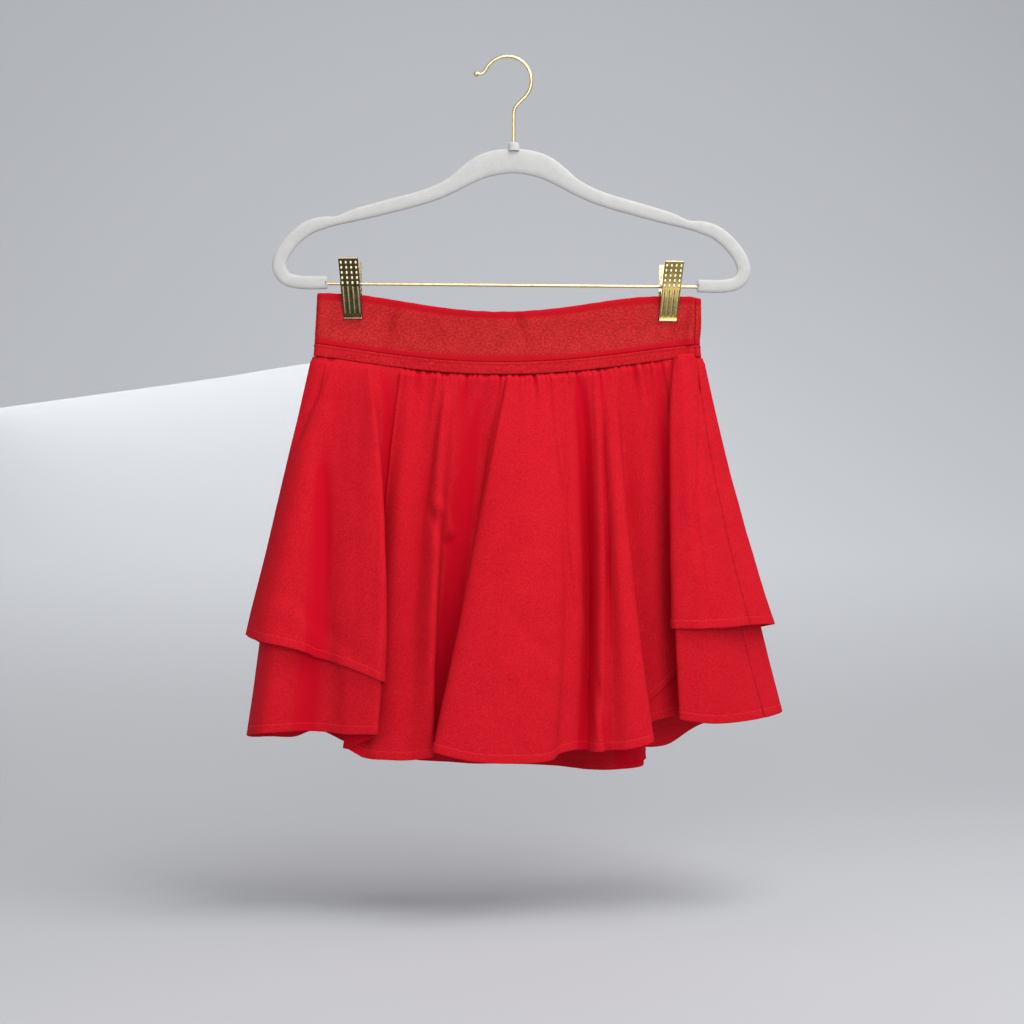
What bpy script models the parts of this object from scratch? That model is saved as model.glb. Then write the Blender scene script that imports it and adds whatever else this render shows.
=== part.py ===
"""An athletic skirt hanging by two clips from a slim hanger.

The frame is +X to the right along the hanger's bar, +Y away from the viewer and +Z up.  The origin
is where a rail bears inside the top of the hook.  Sizes are in millimetres, and every vertex is
turned to metres as its mesh is made.

The skirt is cut as a wide elastic waistband joined at the right side, a narrow strip below it, a
base skirt of a front and a back, and a shorter overskirt of a front and a back whose hem is high at
the sides and falls to the base hem in the middle.  Both skirts are walls along one ring of fold
lines: each fold line has its place at the waist seam, half way down and at the hem.
"""

import math
from typing import NamedTuple

import bmesh
import bpy
from mathutils import Matrix, Vector

MM = 0.001
GAP = 0.3

# ---------------------------------------------------------------- hanger
STEM_X = 5.7
HOOK_RADIUS = 22.3
HOOK_WIRE_RADIUS = 1.6
HOOK_BALL_RADIUS = 2.5
HOOK_CENTRE_Z = HOOK_WIRE_RADIUS - HOOK_RADIUS
HOOK_BALL_END_RADIUS = 1.1
HOOK_ARC_START = 153.0
HOOK_ARC_END = -42.0
HOOK_ARC_STEPS = 18
HOOK_SIDES = 12
# (x, z) from the ball's end to where the arc starts, and from the arc's end to the stem
HOOK_TIP = ((-31.0, -15.4), (-28.6, -15.4), (-24.6, -15.2), (-21.9, -13.4))
HOOK_NECK = ((11.6, -40.6), (7.6, -45.2), (5.9, -50.4))
STEM_STRAIGHT_Z = -56.0
COLLAR_TOP_Z = -78.6
COLLAR_FOOT_Z = -86.5
COLLAR_TOP_RADIUS = 4.4
COLLAR_FOOT_RADIUS = 5.9
STEM_END_Z = -92.0
BORE_CLEARANCE = 0.35
CUT_MARGIN = 1.0
ROUND_SIDES = 20

BODY_DEPTH = 6.0
BODY_ROUNDING = 3.2
BODY_RING_POINTS = 12
BODY_STEPS = 2

BAR_Z = -211.0
BAR_RADIUS = 1.5
BAR_INSERT = 9.0
BAR_SIDES = 16
ACROSS = Matrix.Rotation(math.pi / 2, 4, "Y")


class ArmSection(NamedTuple):
    """One section of half the hanger: its centre, measured from the stem, and its height."""

    name: str
    x: float
    z: float
    width: float


HANGER_ARM = (
    ArmSection("crown_middle", 0, -95.6, 22.6),
    ArmSection("crown_side", 14, -96.8, 23.0),
    ArmSection("crown_shoulder", 29, -101.0, 22.0),
    ArmSection("crown_foot", 43, -109.0, 18.5),
    ArmSection("arm_root", 57, -118.4, 14.6),
    ArmSection("arm_upper", 78, -128.2, 13.2),
    ArmSection("arm_lower", 120, -140.3, 12.8),
    ArmSection("arm_end", 147, -147.6, 11.4),
    ArmSection("notch", 164, -153.0, 8.4),
    ArmSection("notch_lip", 176, -155.0, 11.6),
    ArmSection("loop_top", 190, -160.0, 13.0),
    ArmSection("loop_upper", 205, -172.4, 13.0),
    ArmSection("loop_outer", 214.4, -186.5, 13.0),
    ArmSection("loop_side", 216.2, -197.0, 12.8),
    ArmSection("loop_lower", 210.6, -206.2, 12.4),
    ArmSection("loop_foot", 199, -209.8, 12.2),
    ArmSection("tube_end", 172, -210.0, 12.0),
)

# ---------------------------------------------------------------- clips
PLATE_THICKNESS = 1.0
JAW_TOP_WIDTH = 18.4
JAW_FOOT_WIDTH = 17.6
EAR_THICKNESS = 0.9
FRONT_EAR_X = 8.2
BACK_EAR_X = 6.9
EAR_RADIUS = 4.9
# (out, z) of the ear's root on the plate, above and below the bar, then the arc round the bar
EAR_ROOT = ((8.9, 9.0), (7.6, -9.0))
EAR_ARC_START = -110.0
EAR_ARC_END = -250.0
EAR_ARC_STEPS = 8
EAR_HOLE_RADIUS = 2.5
SPRING_RADIUS = 4.2
SPRING_BORE_RADIUS = 3.1
SPRING_HALF_LENGTH = 6.6


class JawPoint(NamedTuple):
    """A point of the jaw plate's middle in side view: distance out from the bar, and height."""

    name: str
    out: float
    z: float


JAW_PROFILE = (
    JawPoint("thumb_edge", 13.6, 22.4),
    JawPoint("thumb_plate", 10.8, 12.0),
    JawPoint("shoulder", 8.6, 2.0),
    JawPoint("belly", 7.0, -10.0),
    JawPoint("throat", 4.4, -22.0),
    JawPoint("grip", 2.85, -28.6),
    JawPoint("lip", 3.9, -31.8),
)


class Clip(NamedTuple):
    """A clip on the bar: its place along the bar and its tilt in the hanger's plane, in degrees."""

    name: str
    x: float
    tilt: float


CLIPS = (
    Clip("left", -144.6, 3.5),
    Clip("right", 152.1, -4.6),
)

# ---------------------------------------------------------------- waistband
BAND_LEFT = -178.0
BAND_RIGHT = 181.0
BAND_JOIN_X = 175.5
BAND_END_RADIUS = 3.4
BAND_PINCH = 1.1
BAND_FOOT_PINCH = 2.6
BAND_BULGE = 8.6
BAND_FOOT_BULGE = 8.2
CLIP_FLAT = 10.5
BAND_WALL = 1.6
STRIP_WALL = 2.2
STRIP_HEIGHT = 11.0
BACK_RISE = 2.0
SAG_CENTRE_X = -8.0
BAND_TOP_Z = -220.2
BAND_TOP_SAG = 16.4
BAND_TOP_REACH = 150.0
BAND_TOP_POWER = 2.0
SEAM_Z = -277.0
SEAM_SAG = 17.6
SEAM_REACH = 185.0
SEAM_POWER = 1.5
BAND_STATIONS = 18
BAND_END_STEPS = 4

# ---------------------------------------------------------------- skirt
CLOTH_WALL = 1.0
LAYER_GAP = 0.35
LAYER_GAP_AT_HEM = 0.9
FLARE_LEVEL = 0.75
FLARE_POWER = 1.8
BASE_SHORTER = 0.014
COVERED_FROM = 0.94
FOLD_STEPS = 2
SHARED_LEVELS = (0.0, 0.07, 0.18, 0.34, 0.52, 0.70)
HEM_SHARES = (0.5, 1.0)
MITRE_LIMIT = 1.8


class Fold(NamedTuple):
    """A fold line of the skirt.

    x is its place across at the waist seam, half way down and at the hem; y is its depth half way
    down and at the hem; hem_z is the base hem's height; cover is the share of the way down where
    the overskirt ends; flare is how far the overskirt stands out at three quarters of the way.
    """

    name: str
    x_waist: float
    x_mid: float
    x_hem: float
    y_mid: float
    y_hem: float
    hem_z: float
    cover: float
    flare: float


FRONT_FOLDS = (
    Fold("left_seam", -164, -200, -221, 22, 30, -632, 0.77, 9),
    Fold("left_turn", -175, -210, -235, 13, 20, -631, 0.74, 12),
    Fold("left_edge", -178, -213, -240, 2, 6, -628, 0.73, 13),
    Fold("a_crest", -166, -200, -222, -22, -33, -621, 0.76, 10),
    Fold("a_trough", -154, -168, -180, -20, -28, -620, 0.80, 6),
    Fold("a_lap", -140, -139, -149, -33, -46, -621, 0.82, 3),
    Fold("a_edge", -128, -116, -122, -40, -51, -621, 0.86, 1),
    Fold("a_under", -121, -124, -138, -26, -36, -631, 0.93, 0),
    Fold("ab_root", -110, -129, -152, -13, -22, -640, 0.98, 0),
    Fold("b_rise", -99, -117, -134, -10, -18, -645, 1.00, 0),
    Fold("b_crest", -89, -103, -110, -24, -32, -646, 1.00, 0),
    Fold("b_flat", -67, -83, -90, -23, -35, -646, 1.00, 0),
    Fold("b_edge", -55, -68, -71, -36, -38, -643, 1.00, 0),
    Fold("b_under", -47, -62, -80, -17, -24, -643, 1.00, 0),
    Fold("bc_floor", -30, -49, -64, -12, -18, -645, 1.00, 0),
    Fold("bc_rise", -12, -31, -46, -19, -34, -643, 1.00, 0),
    Fold("c_edge", -1, -33, -69, -40, -62, -635, 1.00, 0),
    Fold("c_left", 12, -6, -40, -48, -71, -642, 1.00, 0),
    Fold("c_crest", 26, 23, -1, -48, -70, -645, 1.00, 0),
    Fold("c_lap", 37, 44, 33, -40, -61, -644, 1.00, 0),
    Fold("c_step", 45, 51, 41, -33, -51, -640, 1.00, 0),
    Fold("c_right", 54, 61, 55, -30, -46, -637, 1.00, 0),
    Fold("cd_valley", 66, 74, 70, -12, -36, -638, 1.00, 0),
    Fold("d_ridge", 78, 84, 79, -32, -51, -638, 1.00, 0),
    Fold("d_dip", 84, 91, 89, -30, -47, -637, 1.00, 0),
    Fold("d_crest", 90, 99, 106, -38, -57, -635, 1.00, 0),
    Fold("d_edge", 97, 108, 126, -34, -50, -629, 1.00, 0),
    Fold("d_under", 105, 108, 117, -12, -22, -622, 0.97, 0),
    Fold("e_panel", 120, 133, 139, -4, -10, -613, 0.92, 0),
    Fold("e_deep", 138, 156, 173, -3, -7, -611, 0.86, 0),
    Fold("ef_root", 147, 165, 185, -10, -14, -610, 0.82, 0),
    Fold("f_under", 150, 159, 171, -19, -25, -611, 0.78, 0),
    Fold("f_edge", 154, 151, 156, -29, -37, -611, 0.75, 2),
    Fold("f_crest", 164, 174, 186, -31, -40, -615, 0.74, 6),
)

BACK_FOLDS = (
    Fold("right_seam", 176, 199, 239, -14, -13, -613, 0.74, 10),
    Fold("right_edge", 181, 218, 260, 2, 8, -610, 0.75, 12),
    Fold("g_turn", 178, 213, 250, 20, 32, -613, 0.76, 10),
    Fold("g_crest", 167, 197, 219, 33, 50, -619, 0.79, 6),
    Fold("g_slope", 151, 174, 189, 30, 54, -628, 0.85, 3),
    Fold("h_deep", 138, 152, 158, 22, 46, -645, 0.92, 0),
    Fold("h_root", 125, 131, 129, 12, 34, -649, 0.97, 0),
    Fold("h_lip", 115, 121, 132, 8, 17, -660, 1.00, 0),
    Fold("h_floor", 99, 104, 105, 9, 13, -664, 1.00, 0),
    Fold("i_rise", 80, 81, 78, 22, 28, -666, 1.00, 0),
    Fold("i_crest", 59, 55, 50, 40, 54, -666, 1.00, 0),
    Fold("i_fall", 38, 32, 26, 38, 58, -665, 1.00, 0),
    Fold("ij_valley", 16, 6, -5, 20, 38, -661, 1.00, 0),
    Fold("j_rise", -4, -15, -29, 30, 46, -662, 1.00, 0),
    Fold("j_crest", -23, -39, -55, 42, 60, -662, 1.00, 0),
    Fold("j_edge", -42, -60, -80, 36, 52, -659, 1.00, 0),
    Fold("jk_root", -57, -68, -76, 14, 28, -654, 1.00, 0),
    Fold("k_floor", -74, -87, -98, 9, 15, -650, 1.00, 0),
    Fold("k_rise", -92, -109, -124, 24, 34, -648, 0.98, 0),
    Fold("k_crest", -113, -132, -151, 38, 54, -641, 0.93, 0),
    Fold("l_fall", -131, -156, -177, 34, 50, -629, 0.87, 3),
    Fold("l_valley", -147, -178, -199, 21, 34, -633, 0.82, 6),
)

FOLDS = FRONT_FOLDS + BACK_FOLDS
RIGHT_SEAM = len(FRONT_FOLDS)
LEFT_SEAM = len(FOLDS)


# ---------------------------------------------------------------- finishes
class Finish(NamedTuple):
    """Colour, roughness and metallic value of a material."""

    colour: tuple
    roughness: float
    metallic: float


RED_CLOTH = Finish((0.60, 0.015, 0.025, 1.0), 0.85, 0.0)
RED_ELASTIC = Finish((0.62, 0.035, 0.035, 1.0), 0.55, 0.0)
WHITE_FLOCK = Finish((0.78, 0.79, 0.77, 1.0), 0.95, 0.0)
GOLD_METAL = Finish((0.72, 0.58, 0.33, 1.0), 0.25, 1.0)


def material_of(name: str, finish: Finish) -> bpy.types.Material:
    """Make a Principled material for one piece."""
    material = bpy.data.materials.new(name + "_finish")
    material.use_nodes = True
    shader = material.node_tree.nodes["Principled BSDF"]
    shader.inputs["Base Color"].default_value = finish.colour
    shader.inputs["Roughness"].default_value = finish.roughness
    shader.inputs["Metallic"].default_value = finish.metallic
    return material


def add_object(name: str, mesh_data: bmesh.types.BMesh, finish: Finish, smooth: bool = True):
    """Turn a bmesh in millimetres into a named object in metres."""
    bmesh.ops.scale(mesh_data, vec=(MM, MM, MM), verts=mesh_data.verts)
    mesh = bpy.data.meshes.new(name)
    mesh_data.to_mesh(mesh)
    mesh_data.free()
    if smooth:
        mesh.shade_smooth()
        mesh.set_sharp_from_angle(angle=math.radians(40.0))
    piece = bpy.data.objects.new(name, mesh)
    bpy.context.scene.collection.objects.link(piece)
    piece.data.materials.append(material_of(name, finish))
    return piece


def add_cutter(name: str, mesh_data: bmesh.types.BMesh):
    """Make a helper object that only a Boolean uses."""
    cutter = add_object(name, mesh_data, GOLD_METAL, smooth=False)
    cutter.hide_render = True
    cutter.display_type = "WIRE"
    return cutter


def apply_boolean(piece, helper, operation: str) -> None:
    """Join a helper to a piece, or cut it away, when the modifiers are evaluated."""
    modifier = piece.modifiers.new(helper.name, "BOOLEAN")
    modifier.operation = operation
    modifier.object = helper
    modifier.solver = "EXACT"


# ---------------------------------------------------------------- curves and walls
def lerp(low: float, high: float, share: float) -> float:
    """Blend two values."""
    return low + (high - low) * share


def ease(value: float) -> float:
    """Smooth step from 0 to 1."""
    value = min(max(value, 0.0), 1.0)
    return value * value * (3.0 - 2.0 * value)


def through(start: float, middle: float, end: float, share: float) -> float:
    """Value at a share of the way on the parabola through a start, a middle and an end."""
    return (start * (1 - share) * (1 - 2 * share)
            + middle * 4 * share * (1 - share)
            + end * share * (2 * share - 1))


def spline_point(before: Vector, start: Vector, end: Vector, after: Vector, share: float) -> Vector:
    """Point on the centripetal spline between start and end."""
    knots = [0.0]
    points = (before, start, end, after)
    for first, second in zip(points, points[1:]):
        step = max((second.xy - first.xy).length, 0.01)
        knots.append(knots[-1] + math.sqrt(step))
    here = lerp(knots[1], knots[2], share)

    def between(first: Vector, second: Vector, low: float, high: float) -> Vector:
        return first.lerp(second, (here - low) / (high - low))

    one = between(before, start, knots[0], knots[1])
    two = between(start, end, knots[1], knots[2])
    three = between(end, after, knots[2], knots[3])
    left = between(one, two, knots[0], knots[2])
    right = between(two, three, knots[1], knots[3])
    return between(left, right, knots[1], knots[2])


def plan_normals(line: list) -> list:
    """Mitred normals, to the right of the way along, at all but the two end points of a line."""
    normals = []
    for previous, point, following in zip(line, line[1:], line[2:]):
        before = point.xy - previous.xy
        after = following.xy - point.xy
        side_before = Vector((before.y, -before.x)).normalized()
        side_after = Vector((after.y, -after.x)).normalized()
        middle = (side_before + side_after).normalized()
        stretch = 1.0 / max(middle.dot(side_after), 1.0 / MITRE_LIMIT)
        normals.append(Vector((middle.x, middle.y, 0.0)) * stretch)
    return normals


def build_wall(rows: list, inner_offsets: list, wall: float) -> bmesh.types.BMesh:
    """Close a wall round a grid of points: rows run down, and each row runs along the ring.

    A row has one point more at each end than the wall, which only turns the wall's end normals.
    """
    sheet = bmesh.new()
    inner = []
    outer = []
    for full_line, offsets in zip(rows, inner_offsets):
        normals = plan_normals(full_line)
        line = trim_ends(full_line[1:-1], GAP / 2)
        near = []
        far = []
        for point, normal, offset in zip(line, normals, offsets):
            near.append(sheet.verts.new(point + normal * offset))
            far.append(sheet.verts.new(point + normal * (offset + wall)))
        inner.append(near)
        outer.append(far)
    for upper, lower in zip(outer, outer[1:]):
        for column in range(len(upper) - 1):
            add_two_triangles(sheet, upper, lower, column, 1)
    for upper, lower in zip(inner, inner[1:]):
        for column in range(len(upper) - 1):
            add_two_triangles(sheet, upper, lower, column, -1)
    for edge, turn in ((0, 1), (-1, -1)):
        outer_edge = [line[edge] for line in outer]
        inner_edge = [line[edge] for line in inner]
        add_rim(sheet, outer_edge, inner_edge, turn)
        add_rim(sheet, outer[edge], inner[edge], -turn)
    bmesh.ops.triangulate(sheet, faces=sheet.faces)
    return sheet


def add_two_triangles(sheet: bmesh.types.BMesh, upper: list, lower: list, column: int,
                      turn: int) -> None:
    """Fill one cell between two rows, always along the same diagonal; turn is the winding."""
    high, high_next = upper[column], upper[column + 1]
    low, low_next = lower[column], lower[column + 1]
    sheet.faces.new((high, low, low_next)[::turn])
    sheet.faces.new((high, low_next, high_next)[::turn])


def add_rim(sheet: bmesh.types.BMesh, outer: list, inner: list, turn: int) -> None:
    """Close the wall along one edge; turn is the winding."""
    for index in range(len(outer) - 1):
        corners = (outer[index], inner[index], inner[index + 1], outer[index + 1])
        sheet.faces.new(corners[::turn])


def trim_ends(line: list, amount: float) -> list:
    """Pull both ends of a line in, so that two pieces leave a seam between them."""
    line = list(line)
    line[0] = line[0] + (line[1] - line[0]).normalized() * amount
    line[-1] = line[-1] + (line[-2] - line[-1]).normalized() * amount
    return line


# ---------------------------------------------------------------- waist
def sag(x: float, depth: float, reach: float, power: float) -> float:
    """How far an edge of the band hangs below its ends at a place across."""
    share = min(abs((x - SAG_CENTRE_X) / reach), 1.0)
    return depth * (1.0 - share * share) ** power


def band_top_z(x: float, behind: bool) -> float:
    """Height of the band's top edge."""
    rise = BACK_RISE * ease((BAND_TOP_REACH - abs(x)) / BAND_TOP_REACH) if behind else 0.0
    return BAND_TOP_Z + rise - sag(x, BAND_TOP_SAG, BAND_TOP_REACH, BAND_TOP_POWER)


def seam_z(x: float) -> float:
    """Height of the seam where the skirts hang from the band."""
    return SEAM_Z - sag(x, SEAM_SAG, SEAM_REACH, SEAM_POWER)


def half_depth(x: float, share: float) -> float:
    """Half the thickness of the flattened waist, at a share of the way down the band."""
    left, right = CLIPS[0].x, CLIPS[1].x
    pinch = lerp(BAND_PINCH, BAND_FOOT_PINCH, ease((share - 0.45) / 0.55))
    if min(abs(x - left), abs(x - right)) <= CLIP_FLAT:
        return pinch
    if left < x < right:
        bulge = lerp(BAND_BULGE, BAND_FOOT_BULGE, share)
        across = (x - left - CLIP_FLAT) / (right - left - 2 * CLIP_FLAT)
        return pinch + bulge * math.sin(math.pi * across) ** 2
    end, clip = (BAND_LEFT, left) if x < left else (BAND_RIGHT, right)
    to_end = abs(end - x)
    if to_end < BAND_END_RADIUS:
        return math.sqrt(max(BAND_END_RADIUS ** 2 - (BAND_END_RADIUS - to_end) ** 2, 0.0))
    along = (abs(x - clip) - CLIP_FLAT) / (abs(end - clip) - CLIP_FLAT - BAND_END_RADIUS)
    return lerp(pinch, BAND_END_RADIUS, ease(along))


def band_stations() -> list:
    """Places across, with the side they are on, round the band from its join and back to it."""
    arcs = [1.0 - math.cos(math.pi / 2 * step / BAND_END_STEPS) for step in range(BAND_END_STEPS)]
    left_end = [BAND_LEFT + BAND_END_RADIUS * arc for arc in arcs]
    right_end = [BAND_RIGHT - BAND_END_RADIUS * arc for arc in arcs]
    low = BAND_LEFT + BAND_END_RADIUS
    high = BAND_RIGHT - BAND_END_RADIUS
    inside = CLIPS[0].x + CLIP_FLAT, CLIPS[1].x - CLIP_FLAT
    outside = CLIPS[0].x - CLIP_FLAT, CLIPS[1].x + CLIP_FLAT
    middle = [lerp(*inside, step / BAND_STATIONS) for step in range(BAND_STATIONS + 1)]
    across = [low, lerp(low, outside[0], 0.5), outside[0]] + middle + [outside[1]]
    front = [(x, -1.0) for x in across]
    back = [(x, 1.0) for x in across + [high]]
    join = (BAND_JOIN_X, -1.0)
    right = [(high, -1.0)] + [(x, -1.0) for x in right_end[:0:-1]]
    right += [(x, 1.0) for x in right_end]
    left = [(x, 1.0) for x in left_end[:0:-1]] + [(x, -1.0) for x in left_end]
    return [front[-1], join] + right + back[::-1] + left + front + [join, right[0]]


def build_band(name: str, top: float, foot: float, wall: float) -> None:
    """Build a loop of the waist between two shares of the way from the top edge to the seam."""
    rows = []
    for share in (top, lerp(top, foot, 0.5), foot):
        line = []
        for x, side in band_stations():
            z = lerp(band_top_z(x, side > 0), seam_z(x), share)
            if share == foot and foot < 1.0:
                z = seam_z(x) + STRIP_HEIGHT + GAP
            if share == top and top > 0.0:
                z = seam_z(x) + STRIP_HEIGHT
            line.append(Vector((x, side * half_depth(x, share), z)))
        rows.append(line)
    offsets = [[-wall / 2] * (len(line) - 2) for line in rows]
    add_object(name, build_wall(rows, offsets, wall), RED_ELASTIC)


# ---------------------------------------------------------------- skirt
def fold_at(fold: Fold, level: float) -> Vector:
    """A fold line's point at a share of the way from the waist seam to the base hem."""
    side = 1.0 if fold.y_mid > 0 else -1.0
    y_waist = side * half_depth(fold.x_waist, 1.0)
    z_waist = seam_z(fold.x_waist) - GAP
    return Vector((
        through(fold.x_waist, fold.x_mid, fold.x_hem, level),
        through(y_waist, fold.y_mid, fold.y_hem, level),
        lerp(z_waist, fold.hem_z, level),
    ))


def ring_point(place: float, level: float) -> Vector:
    """A point of the folded ring; whole places are the fold lines."""
    count = len(FOLDS)
    index = math.floor(place)
    share = place - index
    around = [fold_at(FOLDS[(index + step) % count], level) for step in (-1, 0, 1, 2)]
    return spline_point(*around, share)


def fold_value(place: float, column: str) -> float:
    """A column of the fold table, blended between the two nearest fold lines."""
    index = math.floor(place)
    low = getattr(FOLDS[index % len(FOLDS)], column)
    high = getattr(FOLDS[(index + 1) % len(FOLDS)], column)
    return lerp(low, high, ease(place - index))


def end_share(skirt: str, place: float) -> float:
    """Share of the way down where a skirt ends: the base is a little short where it is covered."""
    cover = fold_value(place, "cover")
    if skirt == "overlay":
        return cover
    return 1.0 - BASE_SHORTER * ease((cover - COVERED_FROM) / (1.0 - COVERED_FROM))


def inner_face(skirt: str, place: float, level: float) -> float:
    """Distance from the ring to a skirt's inner face: the overskirt flares towards its hem."""
    if skirt == "base":
        return -CLOTH_WALL / 2
    gap = lerp(LAYER_GAP, LAYER_GAP_AT_HEM, level)
    return CLOTH_WALL / 2 + gap + fold_value(place, "flare") * (level / FLARE_LEVEL) ** FLARE_POWER


def panel_levels(end: float) -> list:
    """Rows of a panel: both skirts share the upper ones, and the last ones run to the hem."""
    shared = SHARED_LEVELS[-1]
    return list(SHARED_LEVELS) + [lerp(shared, end, share) for share in HEM_SHARES]


def build_panel(skirt: str, side: str, first: int, last: int) -> None:
    """Build the wall of one panel between two fold lines of the ring."""
    places = [first + step / FOLD_STEPS for step in range(-1, (last - first) * FOLD_STEPS + 2)]
    columns = [(place, panel_levels(end_share(skirt, place))) for place in places]
    rows = []
    offsets = []
    for row in range(len(SHARED_LEVELS) + len(HEM_SHARES)):
        rows.append([ring_point(place, levels[row]) for place, levels in columns])
        offsets.append([inner_face(skirt, place, levels[row]) for place, levels in columns[1:-1]])
    add_object("{}_{}".format(skirt, side), build_wall(rows, offsets, CLOTH_WALL), RED_CLOTH)


def build_skirt() -> None:
    """Build the waist's two loops and the four panels."""
    strip_share = 1.0 - STRIP_HEIGHT / (BAND_TOP_Z - SEAM_Z)
    build_band("waistband", 0.0, strip_share, BAND_WALL)
    build_band("waist_strip", strip_share, 1.0, STRIP_WALL)
    for skirt in ("base", "overlay"):
        build_panel(skirt, "front", 0, RIGHT_SEAM)
        build_panel(skirt, "back", RIGHT_SEAM, LEFT_SEAM)


# ---------------------------------------------------------------- hanger
def swept_body(path: list, rings: list) -> bmesh.types.BMesh:
    """Sweep rings of (across, deep) offsets, one for each point, along a path in the XZ plane."""
    body = bmesh.new()
    loops = []
    last = len(path) - 1
    for index, (point, ring) in enumerate(zip(path, rings)):
        forward = (path[min(index + 1, last)] - path[max(index - 1, 0)]).normalized()
        side = Vector((-forward.z, 0.0, forward.x))
        loop = []
        for across, deep in ring:
            loop.append(body.verts.new(point + side * across + Vector((0.0, deep, 0.0))))
        loops.append(loop)
    for lower, upper in zip(loops, loops[1:]):
        for index in range(len(lower)):
            following = (index + 1) % len(lower)
            body.faces.new((lower[index], lower[following], upper[following], upper[index]))
    body.faces.new(loops[0][::-1])
    body.faces.new(loops[-1])
    bmesh.ops.recalc_face_normals(body, faces=body.faces)
    bmesh.ops.triangulate(body, faces=body.faces)
    return body


def round_ring(radius: float, sides: int) -> list:
    """A circle's points, as offsets."""
    angles = [2 * math.pi * index / sides for index in range(sides)]
    return [(radius * math.cos(angle), radius * math.sin(angle)) for angle in angles]


def flat_ring(width: float) -> list:
    """A rounded strip's section: a superellipse as wide as asked and as deep as the body."""
    power = 2 / BODY_ROUNDING
    ring = []
    for index in range(BODY_RING_POINTS):
        angle = 2 * math.pi * (index + 0.5) / BODY_RING_POINTS
        across = math.copysign(abs(math.cos(angle)) ** power, math.cos(angle))
        deep = math.copysign(abs(math.sin(angle)) ** power, math.sin(angle))
        ring.append((across * width / 2, deep * BODY_DEPTH / 2))
    return ring


def hanger_line() -> tuple:
    """Points and widths of the flocked body, from one tube end over the crown to the other."""
    mirrored = [section._replace(x=-section.x) for section in HANGER_ARM[:0:-1]]
    sections = mirrored + list(HANGER_ARM)
    last = len(sections) - 1
    path = []
    widths = []
    for index in range(last):
        corners = [sections[min(max(index + step, 0), last)] for step in (-1, 0, 1, 2)]
        flat = [Vector((corner.x, corner.z, 0.0)) for corner in corners]
        for step in range(BODY_STEPS):
            share = step / BODY_STEPS
            point = spline_point(*flat, share)
            path.append(Vector((STEM_X + point.x, 0.0, point.y)))
            widths.append(lerp(sections[index].width, sections[index + 1].width, ease(share)))
    path.append(Vector((STEM_X + sections[last].x, 0.0, sections[last].z)))
    widths.append(sections[last].width)
    return path, widths


def build_hanger_body() -> None:
    """Build the flocked body: a flat rounded strip with a collar and three blind holes."""
    path, widths = hanger_line()
    rings = [flat_ring(width) for width in widths]
    body = add_object("hanger_body", swept_body(path, rings), WHITE_FLOCK)
    collar = on_stem(COLLAR_FOOT_RADIUS, COLLAR_TOP_RADIUS, COLLAR_FOOT_Z, COLLAR_TOP_Z)
    apply_boolean(body, add_cutter("collar_form", collar), "UNION")
    bore_radius = HOOK_WIRE_RADIUS + BORE_CLEARANCE
    stem_bore = on_stem(bore_radius, bore_radius, STEM_END_Z - GAP, COLLAR_TOP_Z + CUT_MARGIN)
    apply_boolean(body, add_cutter("stem_bore", stem_bore), "DIFFERENCE")
    mouth = HANGER_ARM[-1].x - CUT_MARGIN
    floor = HANGER_ARM[-1].x + BAR_INSERT + GAP
    for hand, name in ((-1.0, "bar_bore_left"), (1.0, "bar_bore_right")):
        bore = along_bar(STEM_X + hand * mouth, STEM_X + hand * floor, BAR_RADIUS + BORE_CLEARANCE)
        apply_boolean(body, add_cutter(name, bore), "DIFFERENCE")


def on_stem(low_radius: float, high_radius: float, low_z: float, high_z: float) -> bmesh.types.BMesh:
    """An upright cone or cylinder on the stem's axis."""
    cone = bmesh.new()
    place = Matrix.Translation((STEM_X, 0.0, (low_z + high_z) / 2))
    bmesh.ops.create_cone(cone, cap_ends=True, segments=ROUND_SIDES, radius1=low_radius,
                          radius2=high_radius, depth=high_z - low_z, matrix=place)
    return cone


def along_bar(start_x: float, end_x: float, radius: float) -> bmesh.types.BMesh:
    """A cylinder along the bar's axis."""
    rod = bmesh.new()
    place = Matrix.Translation(((start_x + end_x) / 2, 0.0, BAR_Z)) @ ACROSS
    bmesh.ops.create_cone(rod, cap_ends=True, segments=BAR_SIDES, radius1=radius, radius2=radius,
                          depth=abs(end_x - start_x), matrix=place)
    return rod


def build_bar() -> None:
    """Build the bar, which goes into the body's two tube ends."""
    half = HANGER_ARM[-1].x + BAR_INSERT
    add_object("clip_bar", along_bar(STEM_X - half, STEM_X + half, BAR_RADIUS), GOLD_METAL)


def hook_line() -> tuple:
    """Points and radii of the hook's wire, from its ball tip round the arc and down the stem."""
    arc = []
    for step in range(HOOK_ARC_STEPS + 1):
        angle = math.radians(lerp(HOOK_ARC_START, HOOK_ARC_END, step / HOOK_ARC_STEPS))
        arc.append((HOOK_RADIUS * math.cos(angle), HOOK_CENTRE_Z + HOOK_RADIUS * math.sin(angle)))
    stem = [(STEM_X, STEM_STRAIGHT_Z), (STEM_X, COLLAR_TOP_Z), (STEM_X, STEM_END_Z)]
    places = list(HOOK_TIP) + arc + list(HOOK_NECK) + stem
    path = [Vector((x, 0.0, z)) for x, z in places]
    radii = [HOOK_WIRE_RADIUS] * len(path)
    radii[0] = HOOK_BALL_END_RADIUS
    radii[1] = HOOK_BALL_RADIUS
    return path, radii


def build_hook() -> None:
    """Build the hook: a round wire whose tip swells to a ball."""
    path, radii = hook_line()
    rings = [round_ring(radius, HOOK_SIDES) for radius in radii]
    add_object("hook", swept_body(path, rings), GOLD_METAL)


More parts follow.
